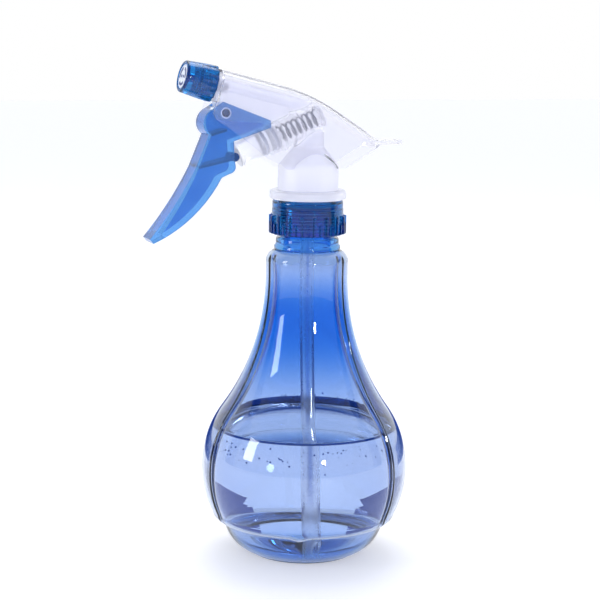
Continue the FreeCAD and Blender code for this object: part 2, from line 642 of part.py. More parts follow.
# ------------------------------------------------------------------ trigger
def make_trigger():
    """Channel-shaped lever: front web, two cheeks with wings past the pivot, two cross ribs and a nose."""
    x, z = size("pivot_x"), size("pivot_z")
    blade = size("blade_long")
    tip_x, tip_z = x - blade * 0.51, z - blade * 0.842
    wing = size("wing_long")

    web = size("trigger_web")
    hip, brow, crown = (x - 7.8, z - 9.6), (x - 10.3, z - 4.8), (x - 6.0, z + 1.8)
    knee = (x - 13.7, z - 23.9)
    front = [(x - 1.2, z + 4.9), (crown[0], crown[1], 7.0), (brow[0], brow[1], 6.5), hip,
             (knee[0], knee[1], -160), (tip_x - 0.7, tip_z + 1.1), (tip_x + 1.0, tip_z - 0.9, 64)]
    back = [(x - 1.7, z - 28.5), (x + 2.0, z - 26.8, 3.2), (x + 4.8, z - 23.8),
            (x + 4.3, z - 20.7), (x + 3.8, z - 12.5), (x + wing + 0.2, z - 6.6), (x + wing, z - 3.4)]
    side = plate("trigger_side", front + back, size("trigger_width"))
    room = plate("trigger_room", [
        (x + wing + 4, z + 12), (crown[0] + web, z + 12), (crown[0] + web, crown[1] - 0.3, 5.2),
        (brow[0] + web, brow[1] - 0.2, 5.0), (hip[0] + web * 1.1, hip[1]),
        (knee[0] + web * 1.15, knee[1] - 0.4, -160),
        (tip_x + 5.0, tip_z + 3.2), (tip_x + 12.0, tip_z - 8.0), (x + wing + 4, z - 34.0),
    ], size("trigger_width") - size("cheek") * 2)
    half = size("rib_thick") / 2
    inner = size("trigger_width") - size("cheek") * 2 + 0.4
    upper_rib = plate("upper_rib", [
        (hip[0] + 0.4, hip[1] - half), (x + 1.0, z - 7.5 - half), (x + 1.0, z - 7.5 + half),
        (hip[0] + 0.4, hip[1] + half),
    ], inner)
    reach = size("nose_radius") + size("nose_gap")
    nose_x, nose_z = PUMP_X - reach * cosine(PUMP_PITCH), PUMP_Z - reach * sine(PUMP_PITCH)
    lower_rib = plate("lower_rib", [
        (knee[0] + 0.6, knee[1] - half), (nose_x, nose_z - half * 2), (nose_x, nose_z + half * 0.4),
        (knee[0] + 0.6, knee[1] + half),
    ], inner)
    nose = cross_pin("nose", size("nose_radius"), inner, nose_x, nose_z)
    pin_hole = cross_pin("cheek_hole", size("pin_radius"), size("trigger_width") + 2, x, z)
    channel = fuse("trigger_channel", cut("trigger_open", side, room), upper_rib, lower_rib, nose)
    trigger = cut("trigger", channel, pin_hole)
    pin = cross_pin("trigger_pin", size("pin_radius"), size("trigger_width") + 0.6, x, z)
    return trigger, pin


# ------------------------------------------------------------------ piston, seals and springs
def make_piston():
    face, stem = size("pump_bore") - size("piston_gap"), size("pump_bore") - size("seal_seat")
    long, width, inset = size("piston_long"), size("seal_width"), size("seal_inset")
    gap = size("seal_spacing")
    pilot = size("spring_radius") - size("spring_wire") * 2 - 0.5
    rear = long - inset
    front = rear - gap
    piston = turned("piston", [
        (0, 0), (face, 0), (face, size("piston_face_thick")), (stem, size("piston_face_thick") + 0.6),
        (stem + 0.8, front - width - 0.8), (stem + 0.8, front - width), (stem, front - width), (stem, front),
        (stem + 0.8, front), (stem + 0.8, rear - width), (stem, rear - width), (stem, rear),
        (stem + 0.8, rear),
        (stem + 0.8, long), (pilot, long), (pilot - 0.4, long + 2.4), (0, long + 2.4),
    ])
    on_pump(piston)
    rings = []
    for name, start in (("piston_front_seal", front - width), ("piston_rear_seal", rear - width)):
        lip = size("pump_bore") - size("seal_gap")
        ring = turned(name, [
            (stem, 0), (lip - 0.5, 0), (lip, width * 0.3), (lip - 0.35, width * 0.5), (lip, width * 0.7),
            (lip - 0.5, width), (stem, width),
        ])
        rings.append(on_pump(ring, start))
    free = size("pump_depth") - long - size("spring_seat_gap") * 2
    wire = number("spring_wire")
    spring = shaped("return_spring", coil(number("spring_radius") - wire, wire,
                                          number("spring_turns"), free.number))
    on_pump(spring, long + size("spring_seat_gap"))
    return [piston, spring] + rings


# ------------------------------------------------------------------ shroud
def back_line(inset):
    """Top of the shroud, moved inwards: front slope, a blend arc about the knee, and rear slope."""
    front, rear, reach = size("back_front_slope"), size("back_rear_slope"), size("back_blend")
    middle, half = (front + rear) / 2, (rear - front) / 2
    drop = inset / cosine(half)
    knee_x, knee_z = size("knee_x") - drop * sine(middle), size("knee_z") - drop * cosine(middle)
    bend = reach * cosine(half) / sine(half) - inset
    reach = bend * sine(half) / cosine(half)
    first = (knee_x - reach * cosine(front), knee_z + reach * sine(front))
    last = (knee_x + reach * cosine(rear), knee_z - reach * sine(rear))
    return first, last, bend, front, rear


def back_block(name, inset, front_x, rear_x):
    """Block under the back line, with its two long top edges rounded, reaching well below the shroud."""
    first, last, bend, front, rear = back_line(inset)
    high = first[1] + (first[0] - front_x) * sine(front) / cosine(front)
    low = last[1] - (rear_x - last[0]) * sine(rear) / cosine(rear)
    floor = size("knee_z") - 50
    block = plate(name + "_block", [
        (front_x, high), (front_x, floor), (rear_x, floor), (rear_x, low), (last[0], last[1], bend), first,
    ], size("shroud_width") - inset * 2)
    return rounded(name, block, size("shroud_round") - inset,
                   lambda box: box.XLength > 8 and box.ZMin > floor.number + 1)


def make_shroud():
    """Open-bottomed cover with a rounded back, a front plate round the duct and a flat tail."""
    wall, gap = size("shroud_wall"), size("shroud_gap")
    lip_x, lip_z = NOZZLE_X - 1.5, NOZZLE_Z - 8.2
    tilt = sine(NOZZLE_PITCH) / cosine(NOZZLE_PITCH)
    over = 30
    bell_x, bell_z = size("bell_radius"), size("bell_height")
    root_x = size("tail_root")
    side = plate("shroud_side", [
        (lip_x + over * tilt, lip_z + over), (lip_x, lip_z), (lip_x - 1.0, lip_z - 4.3, 5.0),
        (lip_x + 1.1, lip_z - 7.2), (lip_x + 11.8, lip_z - 14.4), (lip_x + 20.0, lip_z - 20.8, 26),
        (-bell_x - 2.8, bell_z + 2.8), (-bell_x, bell_z + 0.4), (bell_x + 0.7, bell_z + 0.4),
        (root_x + 1.0, size("tail_height") - size("tail_thick")), (root_x + 6, lip_z + over),
    ], size("shroud_width") + 4)
    outer = common("shroud_outer", back_block("shroud_back", as_dim(0), lip_x - 8, root_x + 8), side)
    room = cut("shroud_room", back_block("shroud_inside", wall, lip_x - 8, root_x - 1.5),
               plate("front_plate", [
                   (lip_x - 9, lip_z + 0.8), (lip_x + wall * 1.1, lip_z + 0.8),
                   (lip_x + wall * 1.1 + over * tilt, lip_z + over), (lip_x - 9, lip_z + over),
               ], size("shroud_width")))
    hole = on_nozzle(cylinder("shroud_hole", size("duct_radius") + gap, 12), -8.0)
    seat = turned("shroud_seat", [
        (0, bell_z - 18), (bell_x + gap, bell_z - 18), *bell_shoulder(-gap),
        (size("column_radius") + 0.4 + gap, size("column_start") + gap), (0, size("column_start") + gap),
    ])
    shell = cut("shroud_shell", outer, fuse("shroud_rooms", room, hole, seat))
    half, tip = size("shroud_width") / 2, root_x + size("tail_long")
    tail = slab("shroud_tail", [
        (root_x - 2.2, -half), (root_x, -half), (tip - 1.5, -(half * 0.62)), (tip, -(half * 0.5)),
        (tip, half * 0.5),
        (tip - 1.5, half * 0.62), (root_x, half), (root_x - 2.2, half),
    ], size("tail_height") - size("tail_thick"), size("tail_thick"))
    return fuse("shroud", shell, tail)


# ------------------------------------------------------------------ nozzle
def make_nozzle():
    back, front, long = size("cap_back_radius"), size("cap_front_radius"), size("cap_long")
    thread_room = size("duct_radius") + size("nozzle_thread_depth") + 0.35
    bridge = size("cap_bridge")
    recess = size("face_radius")
    shelf = long - size("face_recess") - size("face_thick")
    shell = turned("cap_shell", [
        (thread_room, 0.4), (thread_room + 1.4, 0.0), (back - 0.5, 0), (back, 0.6),
        (front, long - 0.5), (front - 0.5, long), (recess, long), (recess, shelf), (1.6, shelf),
        (1.6, bridge), (thread_room, bridge),
    ])
    thread = shaped("cap_thread", ridge(number("nozzle_thread_pitch"), number("nozzle_turns"),
                                        number("duct_radius") + number("nozzle_thread_depth") + 0.35,
                                        number("duct_radius") + 0.3,
                                        number("nozzle_thread_foot"), number("nozzle_thread_crest")))
    start = number("nozzle_thread_start") + number("nozzle_thread_pitch") / 2
    thread.Placement.Base = FreeCAD.Vector(0, 0, start)
    flutes = []
    for step in range(int(number("cap_flutes"))):
        turn = size("cap_flutes")
        angle = 360 * step / turn
        flute = doc.addObject("Part::Cylinder", "flute_%02d" % step)
        bind(flute, "Radius", size("flute_radius"))
        bind(flute, "Height", size("flute_long"))
        reach = back + size("flute_radius") * 0.55
        place(flute, (reach * cosine(angle), reach * sine(angle), as_dim(-0.01)))
        flutes.append(flute)
    cap = cut("nozzle_cap", fuse("cap_solid", shell, thread), fuse("cap_flutes", *flutes))
    on_nozzle(cap)
    disc = turned("nozzle_face", [
        (size("orifice"), 0), (recess, 0), (recess, size("face_thick")),
        (size("orifice") + 0.9, size("face_thick")),
        (size("orifice"), size("face_thick") - 0.5),
    ])
    on_nozzle(disc, shelf)
    return cap, disc


def make_nozzle_inside():
    """Swirl core in the spigot, its sealing ring in the cap, and the outlet ball held shut by its spring."""
    reach = size("spigot_reach")
    head = size("core_head_long")
    core = turned("swirl_core", [
        (0, reach - 4.0), (size("core_radius"), reach - 4.0), (size("core_radius"), reach),
        (size("core_head"), reach), (size("core_head"), reach + head * 0.7), (0.9, reach + head),
        (0, reach + head),
    ])
    on_nozzle(core)
    ring = turned("nozzle_seal", [
        (size("duct_radius") + 0.06, 0), (size("duct_radius") + size("nozzle_thread_depth") + 0.3, 0),
        (size("duct_radius") + size("nozzle_thread_depth") + 0.3, size("seal_ring")),
        (size("duct_radius") + 0.06, size("seal_ring")),
    ])
    on_nozzle(ring, size("seal_place"))
    outlet = ball("outlet_ball", size("ball_radius"))
    seat_drop = root(size("ball_radius") * size("ball_radius") - size("duct_bore") * size("duct_bore"))
    on_nozzle(outlet, seat_drop - size("valve_seat") + size("ball_gap"))
    spring_start = seat_drop - size("valve_seat") + size("ball_gap") + size("ball_radius") + 0.1
    spring_long = reach - 4.0 - 0.1 - spring_start
    spring = shaped("outlet_spring", coil(1.6, number("outlet_wire"), number("outlet_turns"),
                                          spring_long.number))
    on_nozzle(spring, spring_start)
    return core, ring, outlet, spring


# ------------------------------------------------------------------ make, check and write
inlet_ball, ball_cage, cage_top = make_inlet_valve()
nozzle_cap, nozzle_face = make_nozzle()
nodes = [make_bottle(), make_collar(), make_gasket(), make_retainer(), make_dip_tube(), inlet_ball, ball_cage,
         make_sprayer_body(cage_top), *make_trigger(), *make_piston(), make_shroud(), nozzle_cap, nozzle_face,
         *make_nozzle_inside()]
doc.recompute()

for thing in doc.Objects:
    if "Invalid" in thing.State or "Error" in thing.State:
        raise RuntimeError("%s did not build: %s" % (thing.Label, thing.State))
for node in nodes:
    if node.Shape.isNull() or not node.Shape.isValid():
        raise RuntimeError("%s has no valid shape" % node.Label)

os.makedirs("parts", exist_ok=True)
for node in nodes:
    node.Shape.exportStep("parts/%s.step" % node.Label)
    box = node.Shape.BoundBox
    print("%-18s %2d solid(s) %9.1f mm3  x %.1f..%.1f  z %.1f..%.1f" % (
        node.Label, len(node.Shape.Solids), node.Shape.Volume, box.XMin, box.XMax, box.ZMin, box.ZMax))
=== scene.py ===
# %% [markdown]
# # Trigger spray bottle
# A blown bottle of clear blue plastic with three soft lobes, part filled with water, under a pump head.
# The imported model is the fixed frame: every piece below is made in metres around it, on its own axes,
# and rides on the body that carries it. The nozzle points along -X and +Z is up.

# %% Load the frame
import bmesh
import bpy
import math
import random
from mathutils import Matrix, Vector


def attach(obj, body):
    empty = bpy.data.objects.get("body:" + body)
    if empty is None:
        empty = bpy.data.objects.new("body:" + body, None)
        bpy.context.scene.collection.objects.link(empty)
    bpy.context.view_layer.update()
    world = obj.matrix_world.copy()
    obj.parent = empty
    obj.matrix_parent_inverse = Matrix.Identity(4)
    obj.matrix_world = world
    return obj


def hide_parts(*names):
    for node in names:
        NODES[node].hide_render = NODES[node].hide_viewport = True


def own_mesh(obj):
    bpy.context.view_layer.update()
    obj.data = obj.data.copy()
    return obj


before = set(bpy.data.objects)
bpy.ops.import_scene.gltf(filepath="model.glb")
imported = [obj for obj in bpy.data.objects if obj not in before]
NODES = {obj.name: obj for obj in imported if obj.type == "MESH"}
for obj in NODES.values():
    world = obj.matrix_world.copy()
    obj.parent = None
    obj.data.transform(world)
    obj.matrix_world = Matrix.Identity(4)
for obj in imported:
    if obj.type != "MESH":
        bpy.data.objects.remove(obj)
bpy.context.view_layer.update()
MM = 0.001

# %% [markdown]
# ## Camera
# A long lens from some way off keeps the bottle's sides nearly parallel. The camera stands to the nozzle's
# side of straight ahead, a little above the collar, and looks slightly down. The whole camera is rolled by
# under a degree, because the bottle stands that much out of true.

# %% Camera
VIEW_TURN = math.radians(-21.0)
VIEW_DIP = math.radians(9.2)
VIEW_ROLL = 0.0142
VIEW_DISTANCE, VIEW_HEIGHT, VIEW_ASIDE = 0.768, 0.242, -0.0029

camera_data = bpy.data.cameras.new("studio_camera")
camera_data.sensor_width = 36.0
camera_data.lens = 101.8
camera = bpy.data.objects.new("studio_camera", camera_data)
bpy.context.scene.collection.objects.link(camera)
turn = Matrix.Rotation(VIEW_TURN, 4, "Z")
stand = turn @ Vector((VIEW_ASIDE, -VIEW_DISTANCE, VIEW_HEIGHT))
tilt = Matrix.Rotation(math.pi / 2 - VIEW_DIP, 4, "X")
camera.matrix_world = Matrix.Translation(stand) @ turn @ tilt @ Matrix.Rotation(VIEW_ROLL, 4, "Z")
bpy.context.scene.camera = camera
print("camera stands at", [round(c, 3) for c in stand])

# %% [markdown]
# ## Shader maths
# Node trees are easier to read as expressions. One small class wraps a socket, and its operators add the
# Math nodes. Everything else goes through one method that makes a node, sets it up and fills its inputs.


# %% Socket class
class Wire:
    """A socket that takes part in Python arithmetic."""

    def __init__(self, tree, socket):
        self.tree, self.socket = tree, socket

    def node(self, kind, inputs=(), out=0, **settings):
        """Adds a node, sets its properties first, then links or fills its inputs."""
        made = self.tree.nodes.new(kind)
        for key, value in settings.items():
            setattr(made, key, value)
        for key, value in dict(inputs).items():
            target = made.inputs[key]
            if isinstance(value, Wire):
                self.tree.links.new(value.socket, target)
            else:
                target.default_value = value
        return Wire(self.tree, made.outputs[out])

    def math(self, operation, *others):
        return self.node("ShaderNodeMath", enumerate((self,) + others), operation=operation)

    def __add__(self, other):
        return self.math("ADD", other)

    def __mul__(self, other):
        return self.math("MULTIPLY", other)

    def __sub__(self, other):
        return self.math("SUBTRACT", other)

    def __rsub__(self, other):
        return self.node("ShaderNodeMath", {0: other, 1: self}, operation="SUBTRACT")

    def __truediv__(self, other):
        return self.math("DIVIDE", other)

    __radd__ = __add__
    __rmul__ = __mul__

    def between(self, low, high):
        """0 below low, 1 above high, and a smooth rise from one to the other."""
        return self.node("ShaderNodeMapRange", {0: self, 1: low, 2: high, 3: 0.0, 4: 1.0},
                         interpolation_type="SMOOTHSTEP")

    def blend(self, first, second):
        """Colour that goes from first to second as this value goes from 0 to 1."""
        return self.node("ShaderNodeMix", {0: self, 6: first, 7: second}, out=2, data_type="RGBA")

    def parts(self):
        """The three numbers of a vector."""
        split = self.tree.nodes.new("ShaderNodeSeparateXYZ")
        self.tree.links.new(self.socket, split.inputs[0])
        return [Wire(self.tree, output) for output in split.outputs]

    def noise(self, scale, detail=3.0, roughness=0.5):
        return self.node("ShaderNodeTexNoise", {"Vector": self, "Scale": scale, "Detail": detail,
                                                "Roughness": roughness})


# %% [markdown]
# A finish starts as a Principled shader. Its constants go straight onto the shader's sockets, and only
# what changes over the surface is linked: colour, roughness, alpha and the bump that feeds the normal.


# %% Finish helper
class Finish:
    """A material under way: its shader, and the piece's own coordinates to make patterns from."""

    def __init__(self, name, colour, **constants):
        self.material = bpy.data.materials.new(name)
        self.material.use_nodes = True
        self.tree = self.material.node_tree
        self.shader = self.tree.nodes["Principled BSDF"]
        self.shader.inputs["Base Color"].default_value = (*colour, 1.0)
        for key, value in constants.items():
            self.shader.inputs[key.replace("_", " ")].default_value = value
        coordinates = self.tree.nodes.new("ShaderNodeTexCoord")
        self.place = Wire(self.tree, coordinates.outputs["Object"])

    def link(self, socket, wire):
        self.tree.links.new(wire.socket, self.shader.inputs[socket])

    def bump(self, wire, depth, strength=0.5):
        """Raises the surface by a pattern, to a depth in metres."""
        self.link("Normal", self.place.node("ShaderNodeBump", {"Height": wire, "Distance": depth,
                                                               "Strength": strength}))

    def wear(self, roughness, spread, scale):
        """Uneven polish: roughness that wanders by a spread."""
        self.link("Roughness", self.place.noise(scale) * (2.0 * spread) + (roughness - spread))


def rgb(*colour):
    return (*colour, 1.0)


def dress(finish, *names):
    """Gives CAD nodes a finish."""
    for name in names:
        slots = NODES[name].data.materials
        slots.clear()
        slots.append(finish.material)


print("shader helpers ready")

# %% [markdown]
# ## Bottle plastic
# The bottle is blown in one go from tinted plastic. Where the mould stretches the plastic most, on the
# bulb, the wall is thin and pale; towards the neck it stays thick, so the blue deepens. A shell with a
# real thickness and a refracting shader gives the bright and dark lines along the edges by itself. The tint
# is laid over the height, with a paler band of painted highlight low on the bulb. The grooves are darker
# still with painted shade, and so is the foot, where the plastic is also at its thickest.

# %% Bottle finish
bottle_blue = Finish("bottle_pet", (0.5, 0.62, 0.88), Roughness=0.015, IOR=1.5, Transmission_Weight=1.0)
# The second colour here is the paler blue of a painted highlight band low on the bulb.
PALE_BLUE, PAINTED_HIGHLIGHT_BLUE = rgb(0.57, 0.67, 0.86), rgb(0.65, 0.72, 0.87)
# The second colour here is the navy of painted shade, used in the grooves and on the thick foot.
DEEP_BLUE, SHADE_AND_THICK_BLUE = rgb(0.085, 0.33, 0.76), rgb(0.01, 0.14, 0.56)
GROOVE_TURNS = [math.radians(a) for a in (66.5, 186.5, 306.5)]
# Each pair is the height, in metres, at which a change of tint starts and ends.
FLARE, NECK, THREADS, BOWL = (0.064, 0.104), (0.112, 0.135), (0.140, 0.142), (0.006, 0.0155)
PAINTED_HIGHLIGHT_FROM, PAINTED_HIGHLIGHT_TO = (0.022, 0.036), (0.050, 0.060)
GROOVE_SHADE_FROM, GROOVE_SHADE_TO = (0.016, 0.024), (0.138, 0.141)
across, along, height = bottle_blue.place.parts()
thick = (height.between(*FLARE) - height.between(*NECK) * 0.85
         + height.between(*THREADS) * 1.15 + (1.0 - height.between(*BOWL)) * 0.55)
patches = bottle_blue.place.noise(26.0, 2.0)
# A band low on the bulb is lifted to a paler blue: a painted highlight.
painted_highlight = height.between(*PAINTED_HIGHLIGHT_FROM) * (1.0 - height.between(*PAINTED_HIGHLIGHT_TO))
wall_tint = (thick + (patches - 0.5) * 0.10).blend(painted_highlight.blend(PALE_BLUE, PAINTED_HIGHLIGHT_BLUE), DEEP_BLUE)
lobe_wave = (along.math("ARCTAN2", across) - GROOVE_TURNS[0]) * 3.0
# Painted shade darkens the grooves.
groove_shade = (lobe_wave.math("COSINE").between(0.985, 0.999) * height.between(*GROOVE_SHADE_FROM)
         * (1.0 - height.between(*GROOVE_SHADE_TO)))
spread = (across * across + along * along).math("SQRT")
# The foot is darkened as well: partly for its thick plastic, and partly as painted shade.
foot = (1.0 - height.between(0.003, 0.009)) * (1.0 - spread.between(0.021, 0.036))
bottle_blue.link("Base Color", (groove_shade * 0.75 + foot).blend(wall_tint, SHADE_AND_THICK_BLUE))
bottle_blue.bump(bottle_blue.place.noise(55.0, 1.0), 0.0004, 0.10)

# %% [markdown]
# ## Blue fittings
# The collar and the nozzle cap are moulded in the same clear plastic as the bottle, only darker. The
# trigger is a lighter blue and slightly cloudy.

# %% Blue finishes
cap_blue = Finish("deep_blue", (0.006, 0.17, 0.50), Roughness=0.05, IOR=1.5, Transmission_Weight=1.0)
cap_blue.wear(0.05, 0.03, 300.0)
lever_blue = Finish("trigger_blue", (0.16, 0.38, 0.70), Roughness=0.10, IOR=1.42, Transmission_Weight=0.8)
cloud = lever_blue.place.noise(60.0, 2.0)
LEVER_DEEP, LEVER_LIGHT = rgb(0.12, 0.38, 0.82), rgb(0.16, 0.45, 0.88)
lever_blue.link("Base Color", cloud.between(0.2, 0.8).blend(LEVER_DEEP, LEVER_LIGHT))
lever_blue.bump(lever_blue.place.noise(900.0, 2.0), 0.0001, 0.15)

# %% [markdown]
# ## Milky plastics
# The cover and the pump body are natural polypropylene: light passes, but a little of it scatters, so
# what lies behind is seen through a veil. Some diffuse white is mixed in with the transmission, and the
# surface is slightly rough. A faint white emission is a painted glow for the light that scatters inside.

# %% Milky finishes
# A painted glow: white emission standing in for light scattered inside a milky wall.
PAINTED_GLOW = rgb(0.93, 0.93, 1.0)         # light that has scattered inside a milky wall
cover_clear = Finish("clear_cover", (0.93, 0.93, 0.975), Roughness=0.15, IOR=1.2, Transmission_Weight=0.96,
                     Emission_Color=PAINTED_GLOW, Emission_Strength=0.015)
cover_clear.wear(0.15, 0.04, 120.0)
body_frost = Finish("frosted_body", (0.90, 0.90, 0.94), Roughness=0.4, IOR=1.25, Transmission_Weight=0.7,
                    Emission_Color=PAINTED_GLOW, Emission_Strength=0.095)
body_frost.wear(0.4, 0.06, 150.0)
body_frost.bump(body_frost.place.noise(700.0, 2.0), 0.0001, 0.2)

# %% [markdown]
# The barrel has the thinnest wall of the pump body, so it is almost clear and shows the spring inside. How
# far a point lies from the barrel's axis comes from a cross product, and the milky wall fades near it.

# %% Clear barrel
PUMP_PITCH = math.radians(23.5)
PUMP_FROM = (-34.35, 184.8)
PUMP_DIR = (math.cos(PUMP_PITCH), math.sin(PUMP_PITCH))
pump_start = (PUMP_FROM[0] * MM, 0.0, PUMP_FROM[1] * MM)
pump_way = (PUMP_DIR[0], 0.0, PUMP_DIR[1])
from_start = body_frost.place.node("ShaderNodeVectorMath", {0: body_frost.place, 1: pump_start},
                                   operation="SUBTRACT")
run = from_start.node("ShaderNodeVectorMath", {0: from_start, 1: pump_way}, out=1, operation="DOT_PRODUCT")
off_axis = from_start.node("ShaderNodeVectorMath", {0: from_start, 1: pump_way}, operation="CROSS_PRODUCT")
off_axis = off_axis.node("ShaderNodeVectorMath", {0: off_axis}, out=1, operation="LENGTH")
BARREL_SIDE, BARREL_END = (0.0074, 0.0084), (0.041, 0.044)
barrel = (1.0 - off_axis.between(*BARREL_SIDE)) * (1.0 - run.between(*BARREL_END))
body_frost.link("Alpha", 1.0 - barrel * 0.8)

# %% Other natural plastics
# These milky plastics carry the same painted glow as emission.
natural = Finish("natural_plastic", (0.92, 0.93, 0.96), Roughness=0.3, IOR=1.35, Transmission_Weight=0.8,
                 Emission_Color=PAINTED_GLOW, Emission_Strength=0.08)
natural.wear(0.3, 0.06, 200.0)
tube_clear = Finish("tube_plastic", (0.97, 0.98, 1.0), Roughness=0.28, IOR=1.12, Transmission_Weight=0.93,
                    Emission_Color=PAINTED_GLOW, Emission_Strength=0.03)
tube_clear.wear(0.28, 0.05, 250.0)

# %% Small finishes
gasket_white = Finish("gasket_white", (0.82, 0.82, 0.80), Roughness=0.6, Subsurface_Weight=0.1)
gasket_white.wear(0.6, 0.08, 400.0)
seal_rubber = Finish("seal_rubber", (0.70, 0.71, 0.75), Roughness=0.5)
seal_rubber.wear(0.5, 0.1, 500.0)
face_white = Finish("face_white", (0.86, 0.87, 0.90), Roughness=0.28, Subsurface_Weight=0.1)
face_white.wear(0.28, 0.06, 400.0)
steel = Finish("steel", (0.22, 0.22, 0.25), Roughness=0.3, Metallic=1.0)
steel.wear(0.3, 0.08, 600.0)

dress(cap_blue, "screw_collar", "nozzle_cap")
dress(lever_blue, "trigger", "trigger_pin")
dress(cover_clear, "shroud")
dress(body_frost, "sprayer_body")
dress(natural, "tube_retainer", "ball_cage", "piston", "swirl_core")
dress(tube_clear, "dip_tube")
dress(gasket_white, "bottle_gasket")
dress(seal_rubber, "piston_front_seal", "piston_rear_seal", "nozzle_seal")
dress(face_white, "nozzle_face")
dress(steel, "return_spring", "outlet_spring", "inlet_ball", "outlet_ball")
print("finishes:", len(bpy.data.materials))

# %% [markdown]
# ## Turned shapes
# Most of this object was made round an axis, so a half outline spun once round gives its shape. The
# outline is a row of corners in millimetres, some joined by arcs; a helper lays the arc's points.


# %% Outline and spin helpers
def arc(start, end, radius, steps):
    """Points after start, up to end, on an arc: a positive radius turns left on the way."""
    (x0, y0), (x1, y1) = start, end
    across, up = x1 - x0, y1 - y0
    half = math.hypot(across, up) / 2
    rise = math.copysign(math.sqrt(max(radius * radius - half * half, 0.0)), radius)
    cx = (x0 + x1) / 2 - up / (2 * half) * rise
    cy = (y0 + y1) / 2 + across / (2 * half) * rise
    first, last = math.atan2(y0 - cy, x0 - cx), math.atan2(y1 - cy, x1 - cx)
    sweep = (last - first) % (2 * math.pi)
    if radius < 0:
        sweep -= 2 * math.pi
    return [(cx + abs(radius) * math.cos(first + sweep * i / steps),
             cy + abs(radius) * math.sin(first + sweep * i / steps)) for i in range(1, steps + 1)]


def lathe(outline, steps, closed=False):
    """Spins an outline (radius, height) in millimetres about Z into a new bmesh."""
    shape = bmesh.new()
    row = [shape.verts.new((max(r, 0.0) * MM, 0.0, z * MM)) for r, z in outline]
    edges = [shape.edges.new(pair) for pair in zip(row, row[1:])]
    if closed:
        edges.append(shape.edges.new((row[-1], row[0])))
    bmesh.ops.spin(shape, geom=row + edges, cent=(0, 0, 0), axis=(0, 0, 1), dvec=(0, 0, 0),
                   angle=2 * math.pi, steps=steps, use_merge=True)
    bmesh.ops.remove_doubles(shape, verts=shape.verts, dist=1e-6)
    bmesh.ops.recalc_face_normals(shape, faces=shape.faces)
    return shape


def piece(name, shape, finish, body, smooth=40.0, replaces=()):
    """Makes a bmesh a piece of the object: shaded smooth up to an angle, dressed and riding on a body."""
    bmesh.ops.triangulate(shape, faces=[f for f in shape.faces if len(f.verts) > 4])
    mesh = bpy.data.meshes.new(name)
    shape.to_mesh(mesh)
    shape.free()
    made = bpy.data.objects.new(name, mesh)
    bpy.context.scene.collection.objects.link(made)
    mesh.shade_smooth()
    if smooth < 180.0:
        mesh.set_sharp_from_angle(angle=math.radians(smooth))
    mesh.materials.append(finish.material)
    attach(made, body)
    if replaces:
        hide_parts(*replaces)
    print(name, "has", len(mesh.polygons), "faces")
    return made


# %% [markdown]
# ## Bottle
# The bottle is a ball-shaped bulb that flares up into a neck. Three grooves run down it and part it into
# lobes, and the lobes end in a ledge above a plain bowl. It is spun as one closed cross-section, outside
# and inside, so that the wall has a real thickness. The grooves are then pressed in by moving the points
# near them towards the axis: the turn of each column of points is first drawn towards the nearest groove,
# so that the narrow groove gets enough of them.

# %% Bottle outline
BULB, BULB_Z, WALL = 47.5, 40.0, 1.0
WAIST, WAIST_Z, NECK_Z = 18.8, 129.2, 141.0
LOBE_LOW, LOBE_CORNER, LEDGE = 15.2, 4.2, 1.4
FOOT, FOOT_FLAT, DOME = 25.0, 3.0, 2.6
BORE, FINISH, RIM = 10.9, 12.55, 159.5


def side(inset, floor):
    """Outline of the blown part from the axis at the foot to the shoulder, moved inwards by a wall."""
    bulb, neck, climb = BULB - inset, WAIST - inset, WAIST_Z - BULB_Z
    flare = (neck ** 2 + climb ** 2 - bulb ** 2) / (2 * (bulb - neck))
    share = bulb / (bulb + flare)
    meet = ((neck + flare) * share, BULB_Z + climb * share)
    ledge = LOBE_LOW + inset * floor
    low = ledge + LOBE_CORNER
    low_r = math.sqrt(bulb ** 2 - (low - BULB_Z) ** 2)
    bowl = (low_r - LOBE_CORNER - LEDGE, ledge)
    foot = FOOT - inset * 0.5
    ring = (foot - FOOT_FLAT, inset)
    bend = (ring[0] ** 2 + DOME ** 2) / (2 * DOME)
    points = [(0.0, DOME + inset)]
    points += arc(points[-1], ring, -bend, 8)
    points.append((foot - 1.2, inset))
    points += arc(points[-1], (foot + 0.6, inset + 0.9), 1.6, 4)
    points += arc(points[-1], bowl, 17.0, 14)
    points += arc(points[-1], (bowl[0] + LEDGE * 0.7, ledge + 0.25), 1.6, 3)
    points += arc(points[-1], (low_r, low), LOBE_CORNER * 1.15, 7)
    points += arc(points[-1], meet, bulb, 40)
    points += arc(points[-1], (neck, WAIST_Z), -flare, 26)
    shoulder = NECK_Z - 5.6 - inset * 0.3
    points.append((neck, shoulder))
    points += arc(points[-1], (neck - 3.45, NECK_Z - inset), 5.4, 8)
    return points


BEAD, SLEEVE, SLEEVE_TOP = 15.1, 14.4, 146.2
neck_line = [
    (13.9, NECK_Z + 0.1), (BEAD - 0.5, NECK_Z + 0.15), (BEAD - 0.05, NECK_Z + 0.5), (BEAD, NECK_Z + 2.1),
    (BEAD - 0.4, NECK_Z + 2.6), (SLEEVE, NECK_Z + 2.9), (SLEEVE, SLEEVE_TOP),
    (SLEEVE - 0.3, SLEEVE_TOP + 0.5), (FINISH + 0.2, SLEEVE_TOP + 0.6), (FINISH, SLEEVE_TOP + 0.9),
    (FINISH, RIM - 0.5),
    (FINISH - 0.15, RIM - 0.12), (FINISH - 0.5, RIM), (BORE + 0.4, RIM), (BORE + 0.1, RIM - 0.12),
    (BORE, RIM - 0.5), (BORE, NECK_Z + 0.8), (BORE + 0.4, NECK_Z - 0.1)]
bottle_line = side(0.0, 1.0) + neck_line + side(WALL, 0.6)[::-1]

